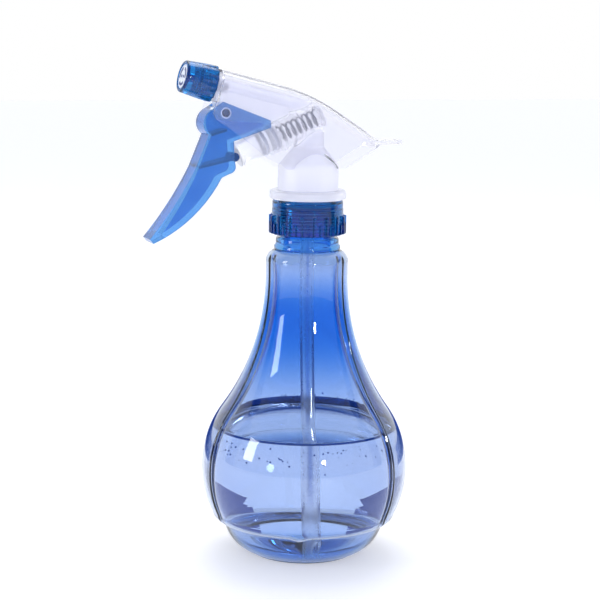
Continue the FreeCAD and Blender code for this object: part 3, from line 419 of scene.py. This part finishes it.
# %% Grooves
SECTOR = math.radians(60.0)         # from a groove to the middle of a lobe
GROOVE_HALF, GROOVE_LOW, GROOVE_HIGH = 1.75, 1.9, 3.3
TIP_DROP, TIP_HALF, TIP_TALL = 1.1, 3.0, 2.6


def smooth(value, low, high):
    t = min(max((value - low) / (high - low), 0.0), 1.0)
    return t * t * (3 - 2 * t)


def from_groove(angle):
    """Angle to the nearest groove, and that groove's own angle."""
    away = [((angle - g + math.pi) % (2 * math.pi) - math.pi, g) for g in GROOVE_TURNS]
    return min(away, key=lambda pair: abs(pair[0]))


def press_lobes(shape):
    """Gathers the columns of points at the grooves, then presses the grooves and the lobes' pointed feet."""
    for vert in shape.verts:
        radius = math.hypot(vert.co.x, vert.co.y) / MM
        if radius < 0.01:
            continue
        z = vert.co.z / MM
        away, groove = from_groove(math.atan2(vert.co.y, vert.co.x))
        share = away / SECTOR
        away = SECTOR * (0.74 * share ** 3 + 0.26 * share)
        run = abs(away) * radius / GROOVE_HALF
        depth = GROOVE_LOW + (GROOVE_HIGH - GROOVE_LOW) * smooth(z, 60.0, 120.0)
        depth *= smooth(z, LOBE_LOW + 0.4, LOBE_LOW + 7.0) * (1 - smooth(z, 134.0, 140.0))
        if radius < 16.0 and z > 130.0:
            depth = 0.0
        radius -= depth * (0.8 * math.exp(-run ** 4) + 0.2 * math.exp(-(run / 2.4) ** 2))
        angle = groove + away
        vert.co.x, vert.co.y = radius * math.cos(angle) * MM, radius * math.sin(angle) * MM
        tip = (SECTOR - abs(away)) * radius / TIP_HALF
        drop = math.exp(-tip ** 2) * math.exp(-((z - LOBE_LOW - 1.0) / TIP_TALL) ** 2)
        vert.co.z -= TIP_DROP * drop * MM


BULB_STEPS = 288
blown = lathe(bottle_line, BULB_STEPS)
press_lobes(blown)
piece("blown_bottle", blown, bottle_blue, "bottle_body", 50.0, ["bottle"])

# %% [markdown]
# ## Water
# The bottle is less than half full. The water is a body of its own just inside the wall, pressed by the
# same grooves, with a rim that climbs the plastic a little, as water does. Its lowest part is painted the
# deep blue of the thick foot round it, as painted shade.

# %% Water
WATER_Z, WATER_GAP = 59.5, 1.12
water_finish = Finish("water", (0.90, 0.94, 0.99), Roughness=0.0, IOR=1.33, Transmission_Weight=1.0)
OPEN_WATER, WATER_FOOT_SHADE = rgb(0.90, 0.94, 0.99), rgb(0.30, 0.62, 0.95)
# Near the foot the water is painted a deeper blue: painted shade.
foot_shade_mask = 1.0 - water_finish.place.parts()[2].between(0.003, 0.013)
water_finish.link("Base Color", foot_shade_mask.blend(OPEN_WATER, WATER_FOOT_SHADE))
water_finish.bump(water_finish.place.noise(30.0, 1.0), 0.0002, 0.05)

fill_line = [point for point in side(WATER_GAP, 0.6) if point[1] < WATER_Z + 1.4]
shore = fill_line[-1][0]
fill_line += [(shore - 0.35, WATER_Z + 0.75), (shore - 0.9, WATER_Z + 0.32), (shore - 1.9, WATER_Z + 0.08),
              (shore - 3.4, WATER_Z), (20.0, WATER_Z), (0.0, WATER_Z)]
fill = lathe(fill_line, BULB_STEPS)
press_lobes(fill)
piece("water_fill", fill, water_finish, "bottle_body", 180.0)

# %% [markdown]
# The line where the water meets the plastic reads as a thin dark ring, because its steep rim bends the
# light away. A narrow dark ring of painted shade lies on it. Fine drops cling above it at the back of the
# bottle, and a few bubbles hang below it at the front; each is a tiny ball of one shared mesh, its place
# drawn from a seeded row of random numbers. Drops and bubbles are tinted dark blue as painted shade.

# %% Water line, drops and bubbles
# A thin dark ring of painted shade on the water line.
line_shade_finish = Finish("water_line", (0.03, 0.10, 0.34), Roughness=0.05, IOR=1.2, Transmission_Weight=0.9)
line_shade_finish.bump(line_shade_finish.place.noise(1400.0, 2.0), 0.0006, 0.6)


def wall_radius(z, inset):
    """Radius of the inner wall of the bulb at a height."""
    return math.sqrt((BULB - inset) ** 2 - (z - BULB_Z) ** 2)


RING_INSET, WET_RISE = WALL + 0.05, 3.6
ring_low, ring_high = WATER_Z - 0.1, WATER_Z + 0.7
low_r = wall_radius(ring_low, RING_INSET)
ring = lathe([(low_r, ring_low), (low_r - 0.2, (ring_low + ring_high) / 2), (low_r, ring_high),
              (low_r - 0.35, ring_high), (low_r - 0.55, ring_low + 0.3), (low_r - 0.45, ring_low)],
             BULB_STEPS, closed=True)
for vert in ring.verts:
    # The wet band stands higher at the back, and its top leans in with the bulb.
    if vert.co.z > (WATER_Z + 0.5) * MM:
        turned = math.atan2(vert.co.y, vert.co.x) - (VIEW_TURN + math.pi / 2)
        vert.co.z += WET_RISE * MM * smooth(math.cos(turned), 0.10, 0.75)
    reach = wall_radius(vert.co.z / MM, RING_INSET) - low_r
    radius = math.hypot(vert.co.x, vert.co.y)
    vert.co.x *= 1 + reach * MM / radius
    vert.co.y *= 1 + reach * MM / radius
press_lobes(ring)
piece("water_line", ring, line_shade_finish, "bottle_body", 60.0)

drop_draw = random.Random(7)


def beads(name, finish, count, places, sizes):
    """Many tiny balls in one piece. A place gives the turn from the camera, the height and the inset."""
    shape = bmesh.new()
    for _ in range(count):
        turn, z, inset = places()
        radius = (wall_radius(z, WALL) - inset) * MM
        angle = VIEW_TURN - math.pi / 2 + turn
        spot = Matrix.Translation((radius * math.cos(angle), radius * math.sin(angle), z * MM))
        size = drop_draw.uniform(*sizes) * MM
        bmesh.ops.create_icosphere(shape, subdivisions=1, radius=size, matrix=spot)
    piece(name, shape, finish, "bottle_body", 180.0)


DROPS, BUBBLES = 520, 46
# The drops are tinted dark blue: painted shade.
drop_shade_finish = Finish("drops", (0.10, 0.26, 0.62), Roughness=0.02, IOR=1.33, Transmission_Weight=0.95)
drop_shade_finish.wear(0.03, 0.02, 900.0)
beads("wall_drops", drop_shade_finish, DROPS,
      lambda: (math.pi + drop_draw.gauss(0.0, 0.62), WATER_Z + 1.2 + abs(drop_draw.gauss(0.0, 1.5)), 0.45),
      (0.22, 0.5))
# The bubbles are tinted dark blue as well, so they show as dark marks: painted shade.
bubble_shade_finish = Finish("bubbles", (0.10, 0.22, 0.55), Roughness=0.0, IOR=1.2, Transmission_Weight=0.9)
bubble_shade_finish.wear(0.02, 0.01, 900.0)
beads("water_bubbles", bubble_shade_finish, BUBBLES,
      lambda: (drop_draw.uniform(-0.95, 0.95), WATER_Z - 2.0 - abs(drop_draw.gauss(0.0, 4.5)), 1.1),
      (0.22, 0.52))

# %% [markdown]
# ## Cut and joined shapes
# Some mouldings are easiest as a block less its hollow. Two bmeshes go in, a Boolean modifier joins or
# cuts them, and its result comes back as a bmesh, so nothing is left over. A plate is an outline seen from
# the side, pushed out across the head.


# %% Boolean and plate helpers
def combined(base, tool, operation):
    """Base less tool, or base joined with tool, as a new bmesh."""
    pair = []
    for label, shape in (("base", base), ("tool", tool)):
        mesh = bpy.data.meshes.new(label)
        bmesh.ops.recalc_face_normals(shape, faces=shape.faces)
        shape.to_mesh(mesh)
        shape.free()
        pair.append(bpy.data.objects.new(label, mesh))
        bpy.context.scene.collection.objects.link(pair[-1])
    cutter = pair[0].modifiers.new("join", "BOOLEAN")
    cutter.object, cutter.operation, cutter.solver = pair[1], operation, "EXACT"
    result = bmesh.new()
    result.from_object(pair[0], bpy.context.evaluated_depsgraph_get())
    for leftover in pair:
        bpy.data.objects.remove(leftover)
    bmesh.ops.remove_doubles(result, verts=result.verts, dist=2e-6)
    bmesh.ops.dissolve_degenerate(result, edges=result.edges, dist=2e-6)
    return result


def plate(outline, low, high, shape=None):
    """An outline of (x, z) in millimetres pushed out across the head, from one y to another."""
    shape = shape or bmesh.new()
    corners = [shape.verts.new((x * MM, low * MM, z * MM)) for x, z in outline]
    face = shape.faces.new(corners)
    grown = bmesh.ops.extrude_face_region(shape, geom=[face])
    bmesh.ops.translate(shape, vec=(0, (high - low) * MM, 0),
                        verts=[v for v in grown["geom"] if isinstance(v, bmesh.types.BMVert)])
    bmesh.ops.recalc_face_normals(shape, faces=shape.faces)
    return shape


def softened(made, width, segments=2):
    """Rounds a piece's sharp edges with a Bevel modifier."""
    edge = made.modifiers.new("soft_edges", "BEVEL")
    edge.width, edge.segments, edge.limit_method = width * MM, segments, "ANGLE"
    edge.angle_limit = math.radians(38.0)
    edge.miter_outer = "MITER_ARC"
    edge.use_clamp_overlap = True
    edge.harden_normals = True
    return made


# %% [markdown]
# ## Trigger
# The trigger is a channel: a front web between two cheeks, with wings that reach back past the pivot.
# Two darker ribs cross it, and the lower one ends in the nose that pushes the piston. The outside is one
# plate, and the hollow is cut out of it. The ribs are a piece of their own, a hair short of the cheeks.

# %% Trigger shape
PIVOT_X, PIVOT_Z = -41.3, 203.5
TRIGGER_HALF, CHEEK, WEB = 5.6, 1.1, 1.4


def outline_of(corners):
    """Lays out corners of (x, z) or (x, z, radius of the run to the next corner)."""
    points = []
    for here, after in zip(corners, corners[1:] + corners[:1]):
        points.append(here[:2])
        if len(here) == 3:
            points += arc(here[:2], after[:2], here[2], 10)[:-1]
    return points


def from_pivot(x, z, *bend):
    return (PIVOT_X + x, PIVOT_Z + z, *bend)


crown, brow, hip, knee = (-6.0, 1.8), (-10.3, -4.8), (-7.8, -9.6), (-13.7, -23.9)
tip = (-33.9, -56.0)
lever_side = outline_of([
    from_pivot(-1.2, 4.9), from_pivot(*crown, 7.0), from_pivot(*brow, 6.5), from_pivot(*hip),
    from_pivot(*knee, -160), from_pivot(tip[0] - 0.7, tip[1] + 1.1),
    from_pivot(tip[0] + 1.0, tip[1] - 0.9, 64), from_pivot(-1.7, -28.5), from_pivot(2.0, -26.8, 3.2),
    from_pivot(4.8, -23.8), from_pivot(4.3, -20.7), from_pivot(3.8, -12.5), from_pivot(21.1, -6.6),
    from_pivot(20.9, -3.4)])
lever_room = outline_of([
    from_pivot(25.0, 12.0), from_pivot(crown[0] + WEB, 12.0), from_pivot(crown[0] + WEB, crown[1] - 0.3, 5.2),
    from_pivot(brow[0] + WEB, brow[1] - 0.2, 5.0), from_pivot(hip[0] + WEB * 1.1, hip[1]),
    from_pivot(knee[0] + WEB * 1.15, knee[1] - 0.4, -160), from_pivot(tip[0] + 5.0, tip[1] + 3.2),
    from_pivot(tip[0] + 12.0, tip[1] - 8.0), from_pivot(25.0, -34.0)])
inner = TRIGGER_HALF - CHEEK
channel = combined(plate(lever_side, -TRIGGER_HALF, TRIGGER_HALF), plate(lever_room, -inner, inner),
                   "DIFFERENCE")


def cross_bar(radius, half, x, z, steps=40):
    """Round bar across the head."""
    bar = bmesh.new()
    place = Matrix.Translation((x * MM, 0, z * MM)) @ Matrix.Rotation(math.pi / 2, 4, "X")
    bmesh.ops.create_cone(bar, cap_ends=True, segments=steps, radius1=radius * MM, radius2=radius * MM,
                          depth=2 * half * MM, matrix=place)
    return bar


PIN_HOLE, NOSE_BACK, NOSE_RADIUS, RIB_HALF = 1.8, 2.2, 1.98, 0.6
rib_reach = inner - 0.03
nose = (PUMP_FROM[0] - NOSE_BACK * PUMP_DIR[0], PUMP_FROM[1] - NOSE_BACK * PUMP_DIR[1])
ribs = plate([from_pivot(hip[0] + 1.65, hip[1] - RIB_HALF), from_pivot(1.0, -8.1), from_pivot(1.0, -6.9),
              from_pivot(hip[0] + 1.65, hip[1] + RIB_HALF)], -rib_reach, rib_reach)
plate([from_pivot(knee[0] + 1.75, knee[1] - RIB_HALF), (nose[0], nose[1] - 1.2), (nose[0], nose[1] + 0.24),
       from_pivot(knee[0] + 1.75, knee[1] + RIB_HALF)], -rib_reach, rib_reach, ribs)
channel = combined(channel, cross_bar(PIN_HOLE, TRIGGER_HALF + 1, PIVOT_X, PIVOT_Z), "DIFFERENCE")
lever = piece("trigger_lever", channel, lever_blue, "lever", 40.0, ["trigger"])
softened(lever, 0.3)
rib_blue = Finish("rib_blue", (0.02, 0.09, 0.30), Roughness=0.15, IOR=1.45, Transmission_Weight=0.5)
rib_blue.wear(0.15, 0.05, 400.0)
ribs = combined(ribs, cross_bar(NOSE_RADIUS, rib_reach, *nose), "UNION")
softened(piece("trigger_ribs", ribs, rib_blue, "lever", 40.0, ()), 0.15)

# %% [markdown]
# The pin is a short rod of the same deep blue as the cap. It is clear as well, but light has to pass its
# whole length, so its end reads as a dark disc. Its ends are dished and bevelled, and a thin pale ring of
# painted highlight runs round each on the cheek.

# %% Trigger pin
pin_blue = Finish("pin_blue", (0.03, 0.10, 0.30), Roughness=0.12, IOR=1.5, Transmission_Weight=0.5)
pin_blue.wear(0.12, 0.05, 500.0)
PIN, PIN_PROUD, DISH_EDGE, DISH_DEEP = 1.66, 0.28, 0.45, 0.5
pin = cross_bar(PIN, TRIGGER_HALF + PIN_PROUD, PIVOT_X, PIVOT_Z)
ends = [f for f in pin.faces if len(f.verts) > 4]
bmesh.ops.inset_region(pin, faces=ends, thickness=DISH_EDGE * MM, depth=0.0)
for end in ends:
    bmesh.ops.translate(pin, vec=-end.normal * DISH_DEEP * MM, verts=end.verts)
softened(piece("trigger_pivot_pin", pin, pin_blue, "lever", 40.0, ["trigger_pin"]), 0.15)

# Pale rings on the cheeks round the pin ends: a painted highlight.
rim_highlight = Finish("pin_rim_highlight", (0.62, 0.72, 0.90), Roughness=0.25)
rim_highlight.wear(0.25, 0.06, 500.0)
rims = bmesh.new()
for flank in (-1, 1):
    ring = lathe([(1.85, 0.0), (2.5, 0.0), (2.4, 0.14), (1.95, 0.14)], 48, closed=True)
    seat = Matrix.Translation((PIVOT_X * MM, flank * TRIGGER_HALF * MM, PIVOT_Z * MM))
    bmesh.ops.transform(ring, matrix=seat @ Matrix.Rotation(-flank * math.pi / 2, 4, "X"), verts=ring.verts)
    part = bpy.data.meshes.new("rim")
    ring.to_mesh(part)
    ring.free()
    rims.from_mesh(part)
    bpy.data.meshes.remove(part)
piece("pin_rims", rims, rim_highlight, "lever", 40.0, ())

# %% [markdown]
# ## Collar
# The screw collar is a ring with a lip over the gasket. Long and short teeth alternate round its lower
# half as a grip. The ring is spun, one tooth is shaped and copied round it, and the whole is joined.

# %% Collar
COLLAR_LOW, COLLAR_TOP, COLLAR_R, COLLAR_BORE, LIP = 148.3, 164.3, 16.3, 14.05, 11.7
THREAD_TOP, THREAD_STEP, THREAD_IN, THREAD_RINGS = 160.4, 1.55, 0.3, 7
TEETH, TALL_TOOTH, SHORT_TOOTH, TOOTH_DEEP, TOOTH_WIDE = 36, 8.6, 5.0, 1.85, 1.15


def thread_ring(bore, crest, z, flank, low):
    """Half outline of one thread ring inside a bore: in over a flank, straight down, and out again."""
    return [(bore, z), (crest, z - flank), (crest, z - 2 * flank), (bore, z - low)]


collar_line = [(COLLAR_BORE, COLLAR_LOW + 0.3), (COLLAR_BORE + 0.3, COLLAR_LOW), (COLLAR_R - 0.6, COLLAR_LOW)]
collar_line += arc(collar_line[-1], (COLLAR_R, COLLAR_LOW + 0.9), 0.8, 4)
collar_line += [(COLLAR_R, COLLAR_TOP - 4.2), (COLLAR_R - 0.16, COLLAR_TOP - 4.0),
                (COLLAR_R - 0.16, COLLAR_TOP - 1.4)]
collar_line += arc(collar_line[-1], (COLLAR_R - 1.4, COLLAR_TOP - 0.02), 1.5, 6)
collar_line += [(LIP + 0.2, COLLAR_TOP - 0.02), (LIP, COLLAR_TOP - 0.2), (LIP, COLLAR_TOP - 1.6),
                (COLLAR_BORE - 0.35, COLLAR_TOP - 1.6), (COLLAR_BORE, COLLAR_TOP - 2.0)]
for step in range(THREAD_RINGS):
    collar_line += thread_ring(COLLAR_BORE, COLLAR_BORE - THREAD_IN, THREAD_TOP - step * THREAD_STEP,
                               0.3, 0.9)
collar_ring = lathe(collar_line, 144, closed=True)

teeth = bmesh.new()
for step in range(TEETH):
    tall = SHORT_TOOTH if step % 2 else TALL_TOOTH
    tooth = bmesh.ops.create_cube(teeth, size=MM)["verts"]
    bmesh.ops.scale(teeth, vec=(TOOTH_DEEP, TOOTH_WIDE, tall), verts=tooth)
    for vert in tooth:
        # The outer face of a tooth is narrower and shorter than its root.
        if vert.co.x > 0:
            vert.co.y *= 0.72
            vert.co.z *= 1 - 0.5 / tall
    spot = ((COLLAR_R + 0.41) * MM, 0, (COLLAR_LOW + 0.4 + tall / 2) * MM)
    bmesh.ops.translate(teeth, vec=spot, verts=tooth)
    bmesh.ops.rotate(teeth, cent=(0, 0, 0), verts=tooth,
                     matrix=Matrix.Rotation(math.radians(step * 360.0 / TEETH), 3, "Z"))
collar = combined(collar_ring, teeth, "UNION")
softened(piece("screw_ring", collar, cap_blue, "collar", 35.0, ["screw_collar"]), 0.16)

# %% [markdown]
# ## Nozzle
# The nozzle cap turns and slides along its own axis, which climbs a little towards the front. It is spun
# along Z and carried to that axis afterwards. Twelve flutes run in from its rear rim and fade out halfway;
# fine threads and splines inside its rear half show through the plastic as a grid.

# %% Nozzle cap
NOZZLE_PITCH = math.radians(13.94)
NOZZLE_FROM = (-45.5, 215.9)
nozzle_frame = (Matrix.Translation((NOZZLE_FROM[0] * MM, 0, NOZZLE_FROM[1] * MM))
                @ Matrix.Rotation(-(math.pi / 2 - NOZZLE_PITCH), 4, "Y"))
CAP_BACK, CAP_FRONT, CAP_LONG, CAP_RINGS = 8.4, 7.1, 14.7, 14
CAP_BORE, CAP_CREST, CAP_THREAD_TOP, CAP_THREAD_STEP, CAP_THREADS = 4.85, 4.62, 9.0, 1.05, 8
FACE_SEAT, FACE_FLOOR, ORIFICE = 5.75, 13.15, 1.6
FLUTES, FLUTE_DEEP, FLUTE_LONG, SPLINES, SPLINE_DEEP = 12, 0.75, 8.5, 30, 0.10

cap_line = [(5.0, 0.25), (5.3, 0.0), (CAP_BACK - 0.5, 0.0), (CAP_BACK - 0.12, 0.15), (CAP_BACK, 0.6)]
cap_line += [(CAP_BACK + (CAP_FRONT - CAP_BACK) * t / CAP_RINGS, 0.6 + (CAP_LONG - 1.2) * t / CAP_RINGS)
             for t in range(1, CAP_RINGS + 1)]
cap_line += arc(cap_line[-1], (CAP_FRONT - 0.7, CAP_LONG), 0.8, 4)
cap_line += [(FACE_SEAT + 0.25, CAP_LONG), (FACE_SEAT, CAP_LONG - 0.25), (FACE_SEAT, FACE_FLOOR),
             (ORIFICE, FACE_FLOOR), (ORIFICE, 10.8), (CAP_BORE, 10.8)]
for step in range(CAP_THREADS):
    cap_line += thread_ring(CAP_BORE, CAP_CREST, CAP_THREAD_TOP - step * CAP_THREAD_STEP, 0.25, 0.75)
cap = lathe(cap_line, 180, closed=True)
sector = 2 * math.pi / FLUTES
for vert in cap.verts:
    radius = math.hypot(vert.co.x, vert.co.y) / MM
    angle, z = math.atan2(vert.co.y, vert.co.x), vert.co.z / MM
    flute = max(0.0, FLUTE_DEEP * (1 - z / FLUTE_LONG)) if radius > 6.5 else 0.0
    width = 0.26 * max(0.05, 1 - z / (FLUTE_LONG + 0.3))
    off = (angle + sector / 2) % sector - sector / 2
    radius_now = radius - flute * math.exp(-(off / width) ** 2 * 1.6)
    if radius < CAP_BORE + 0.05 and z < 10.0:
        radius_now += SPLINE_DEEP * math.cos(angle * SPLINES)
    if radius > 0.01:
        vert.co.x, vert.co.y = vert.co.x * radius_now / radius, vert.co.y * radius_now / radius
bmesh.ops.transform(cap, matrix=nozzle_frame, verts=cap.verts)
piece("nozzle_shell", cap, cap_blue, "nozzle", 40.0, ["nozzle_cap"])

# %% [markdown]
# A white disc closes the front of the cap, with the orifice dished into its middle. Three raised arcs and
# two dots stand on it, as the marks that show which way the nozzle is turned.

# %% Nozzle face
face_line = [(0.0, 0.7), (0.45, 0.75), (0.75, 1.2), (5.0, 1.2)]
face_line += arc(face_line[-1], (5.68, 0.6), -0.7, 4) + [(5.68, 0.0), (0.0, 0.0)]
face = lathe([(r, z + 13.2) for r, z in face_line], 72)
bmesh.ops.transform(face, matrix=nozzle_frame, verts=face.verts)
piece("face_disc", face, face_white, "nozzle", 40.0, ["nozzle_face"])

mark_finish = Finish("mark_navy", (0.02, 0.05, 0.20), Roughness=0.35)
mark_finish.wear(0.35, 0.08, 500.0)
marks = bmesh.new()
MARK_LOW, MARK_HIGH, MARK_IN, MARK_OUT, MARK_SWEEP = 14.38, 14.5, 3.1, 4.2, math.radians(82.0)
for start in (20.0, 140.0, 260.0):
    corners = [marks.verts.new((r * MM, 0, z * MM)) for r, z in
               ((MARK_IN, MARK_LOW), (MARK_OUT, MARK_LOW), (MARK_OUT, MARK_HIGH), (MARK_IN, MARK_HIGH))]
    loop = [marks.edges.new((corners[i], corners[(i + 1) % 4])) for i in range(4)]
    swept = bmesh.ops.spin(marks, geom=corners + loop, cent=(0, 0, 0), axis=(0, 0, 1), dvec=(0, 0, 0),
                           angle=MARK_SWEEP, steps=20)
    ended = [v for v in swept["geom_last"] if isinstance(v, bmesh.types.BMVert)]
    marks.faces.new(corners)
    marks.faces.new(ended)
    arc_verts, grow = set(corners), list(corners)
    while grow:
        for edge in grow.pop().link_edges:
            for vert in edge.verts:
                if vert not in arc_verts:
                    arc_verts.add(vert)
                    grow.append(vert)
    bmesh.ops.rotate(marks, cent=(0, 0, 0), matrix=Matrix.Rotation(math.radians(start), 3, "Z"),
                     verts=list(arc_verts))
for aside in (-1.35, 1.35):
    bmesh.ops.create_cone(marks, cap_ends=True, segments=20, radius1=0.72 * MM, radius2=0.62 * MM,
                          depth=(MARK_HIGH - MARK_LOW) * MM,
                          matrix=Matrix.Translation((0, aside * MM, (MARK_LOW + MARK_HIGH) / 2 * MM)))
bmesh.ops.recalc_face_normals(marks, faces=marks.faces)
bmesh.ops.transform(marks, matrix=nozzle_frame, verts=marks.verts)
piece("face_marks", marks, mark_finish, "nozzle", 30.0)

# %% [markdown]
# ## Springs
# A spring is a round wire swept up a screw line: a small circle spun round the axis, and raised a little
# at each step.


# %% Springs
def coil(radius, wire, turns, long, carry):
    """Round-wire spring from 0 to long along Z, carried to its place by a matrix."""
    shape = bmesh.new()
    ring = bmesh.ops.create_circle(shape, cap_ends=False, segments=10, radius=wire * MM,
                                   matrix=Matrix.Translation((radius * MM, 0, wire * MM))
                                   @ Matrix.Rotation(math.pi / 2, 4, "X"))["verts"]
    steps = int(turns * 28)
    loop = list({e for v in ring for e in v.link_edges})
    bmesh.ops.spin(shape, geom=ring + loop, cent=(0, 0, 0), axis=(0, 0, 1), angle=turns * 2 * math.pi,
                   steps=steps, dvec=(0, 0, (long - 2 * wire) * MM / steps))
    bmesh.ops.holes_fill(shape, edges=[e for e in shape.edges if e.is_boundary], sides=0)
    bmesh.ops.recalc_face_normals(shape, faces=shape.faces)
    bmesh.ops.transform(shape, matrix=carry, verts=shape.verts)
    return shape


pump_frame = (Matrix.Translation((PUMP_FROM[0] * MM, 0, PUMP_FROM[1] * MM))
              @ Matrix.Rotation(math.pi / 2 - PUMP_PITCH, 4, "Y"))
SPRING_FROM, SPRING_TO = 20.35, 41.85
spring = piece("return_coil", coil(3.5, 0.5, 7.5, SPRING_TO - SPRING_FROM,
                                   pump_frame @ Matrix.Translation((0, 0, SPRING_FROM * MM))),
               steel, "head", 180.0, ["return_spring"])
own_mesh(spring)
OUTLET_FROM, OUTLET_TO, OUTLET_LIFT = -2.95, 5.1, 1.2
spring = piece("outlet_coil", coil(1.6, 0.25, 6.5, OUTLET_TO - OUTLET_FROM,
                                   nozzle_frame @ Matrix.Translation((0, 0, OUTLET_FROM * MM))),
               steel, "head", 180.0, ["outlet_spring"])
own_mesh(spring)

# %% [markdown]
# ## Stage and light
# A pale floor, and soft light all round: a bright sky behind the bottle and overhead, dimmer in front, and
# small soft boxes whose reflections run down the plastic. Clear things show only what is around them, so
# dark cards stand at the sides and low behind; they are hidden from the camera and seen only in reflections
# and through the plastic, where they draw the edges.


# %% Floor and sky
def flat_card(name, wide, tall, place, look_at, finish):
    shape = bmesh.new()
    bmesh.ops.create_grid(shape, x_segments=1, y_segments=1, size=0.5)
    bmesh.ops.scale(shape, vec=(wide, tall, 1.0), verts=shape.verts)
    aim = (Vector(look_at) - Vector(place)).to_track_quat("Z", "Y").to_matrix().to_4x4()
    bmesh.ops.transform(shape, matrix=Matrix.Translation(place) @ aim, verts=shape.verts)
    mesh = bpy.data.meshes.new(name)
    shape.to_mesh(mesh)
    shape.free()
    card = bpy.data.objects.new(name, mesh)
    bpy.context.scene.collection.objects.link(card)
    mesh.materials.append(finish.material)
    return card


floor_finish = Finish("pale_floor", (0.70, 0.70, 0.71), Roughness=0.6)
floor_finish.shader.inputs["Emission Color"].default_value = rgb(1.0, 1.0, 1.0)
floor_finish.shader.inputs["Emission Strength"].default_value = 0.45
flat_card("floor", 9.0, 9.0, (0, 0, 0), (0, 0, 1), floor_finish)

world = bpy.data.worlds.new("soft_sky")
bpy.context.scene.world = world
world.use_nodes = True
sky_tree = world.node_tree
sky_node = sky_tree.nodes["Background"]
ray = Wire(sky_tree, sky_tree.nodes.new("ShaderNodeTexCoord").outputs["Generated"])
back = Vector((-math.sin(VIEW_TURN), math.cos(VIEW_TURN), 0.0))
facing = ray.node("ShaderNodeVectorMath", {0: ray, 1: back}, out=1, operation="DOT_PRODUCT")
DIM_SKY, BRIGHT_SKY = rgb(0.36, 0.43, 0.68), rgb(1.0, 1.0, 1.0)
sky_tree.links.new(facing.between(-0.35, 0.55).blend(DIM_SKY, BRIGHT_SKY).socket, sky_node.inputs["Color"])
sky_node.inputs["Strength"].default_value = 1.0


def soft_box(name, wide, tall, place, look_at, power, outline="RECTANGLE"):
    data = bpy.data.lights.new(name, "AREA")
    data.shape, data.size, data.size_y, data.energy = outline, wide, tall, power
    box = bpy.data.objects.new(name, data)
    bpy.context.scene.collection.objects.link(box)
    aim = (Vector(place) - Vector(look_at)).to_track_quat("Z", "Y").to_matrix().to_4x4()
    box.matrix_world = Matrix.Translation(place) @ aim


def around(turn, distance, height):
    """Place at a turn from the camera's own direction, on its right when positive."""
    angle = VIEW_TURN + math.radians(turn)
    return Vector((math.sin(angle) * distance, -math.cos(angle) * distance, height))


soft_box("left_box", 0.20, 0.34, around(-66, 0.9, 0.36), (0, 0, 0.12), 1.6)
soft_box("lamp", 0.08, 0.08, around(22, 0.9, 0.30), (0, 0, 0.10), 1.4, "DISK")
soft_box("strip", 0.02, 0.3, around(12, 0.9, 1.0), (0, 0, 0.12), 0.5)
soft_box("top_box", 0.8, 0.8, around(180, 0.5, 1.2), (0, 0, 0.1), 6.0)

# Turn from the camera in degrees, then distance, width, height and middle in metres.
CARDS = {"left": (-88, 0.50, 0.12, 0.40, 0.24), "right": (88, 0.50, 0.12, 0.40, 0.24),
         "back_left": (-144, 0.27, 0.25, 0.05, 0.028), "back_right": (144, 0.27, 0.25, 0.05, 0.028)}
card_finish = Finish("dark_card", (0.01, 0.06, 0.30), Roughness=0.8)
for name, (turn_to, distance, wide, tall, middle) in CARDS.items():
    card = flat_card("card_" + name, wide, tall, around(turn_to, distance, middle), (0, 0, middle),
                     card_finish)
    card.visible_camera = card.visible_shadow = card.visible_diffuse = False

bpy.context.scene.view_settings.view_transform = "Standard"
print("stage set")
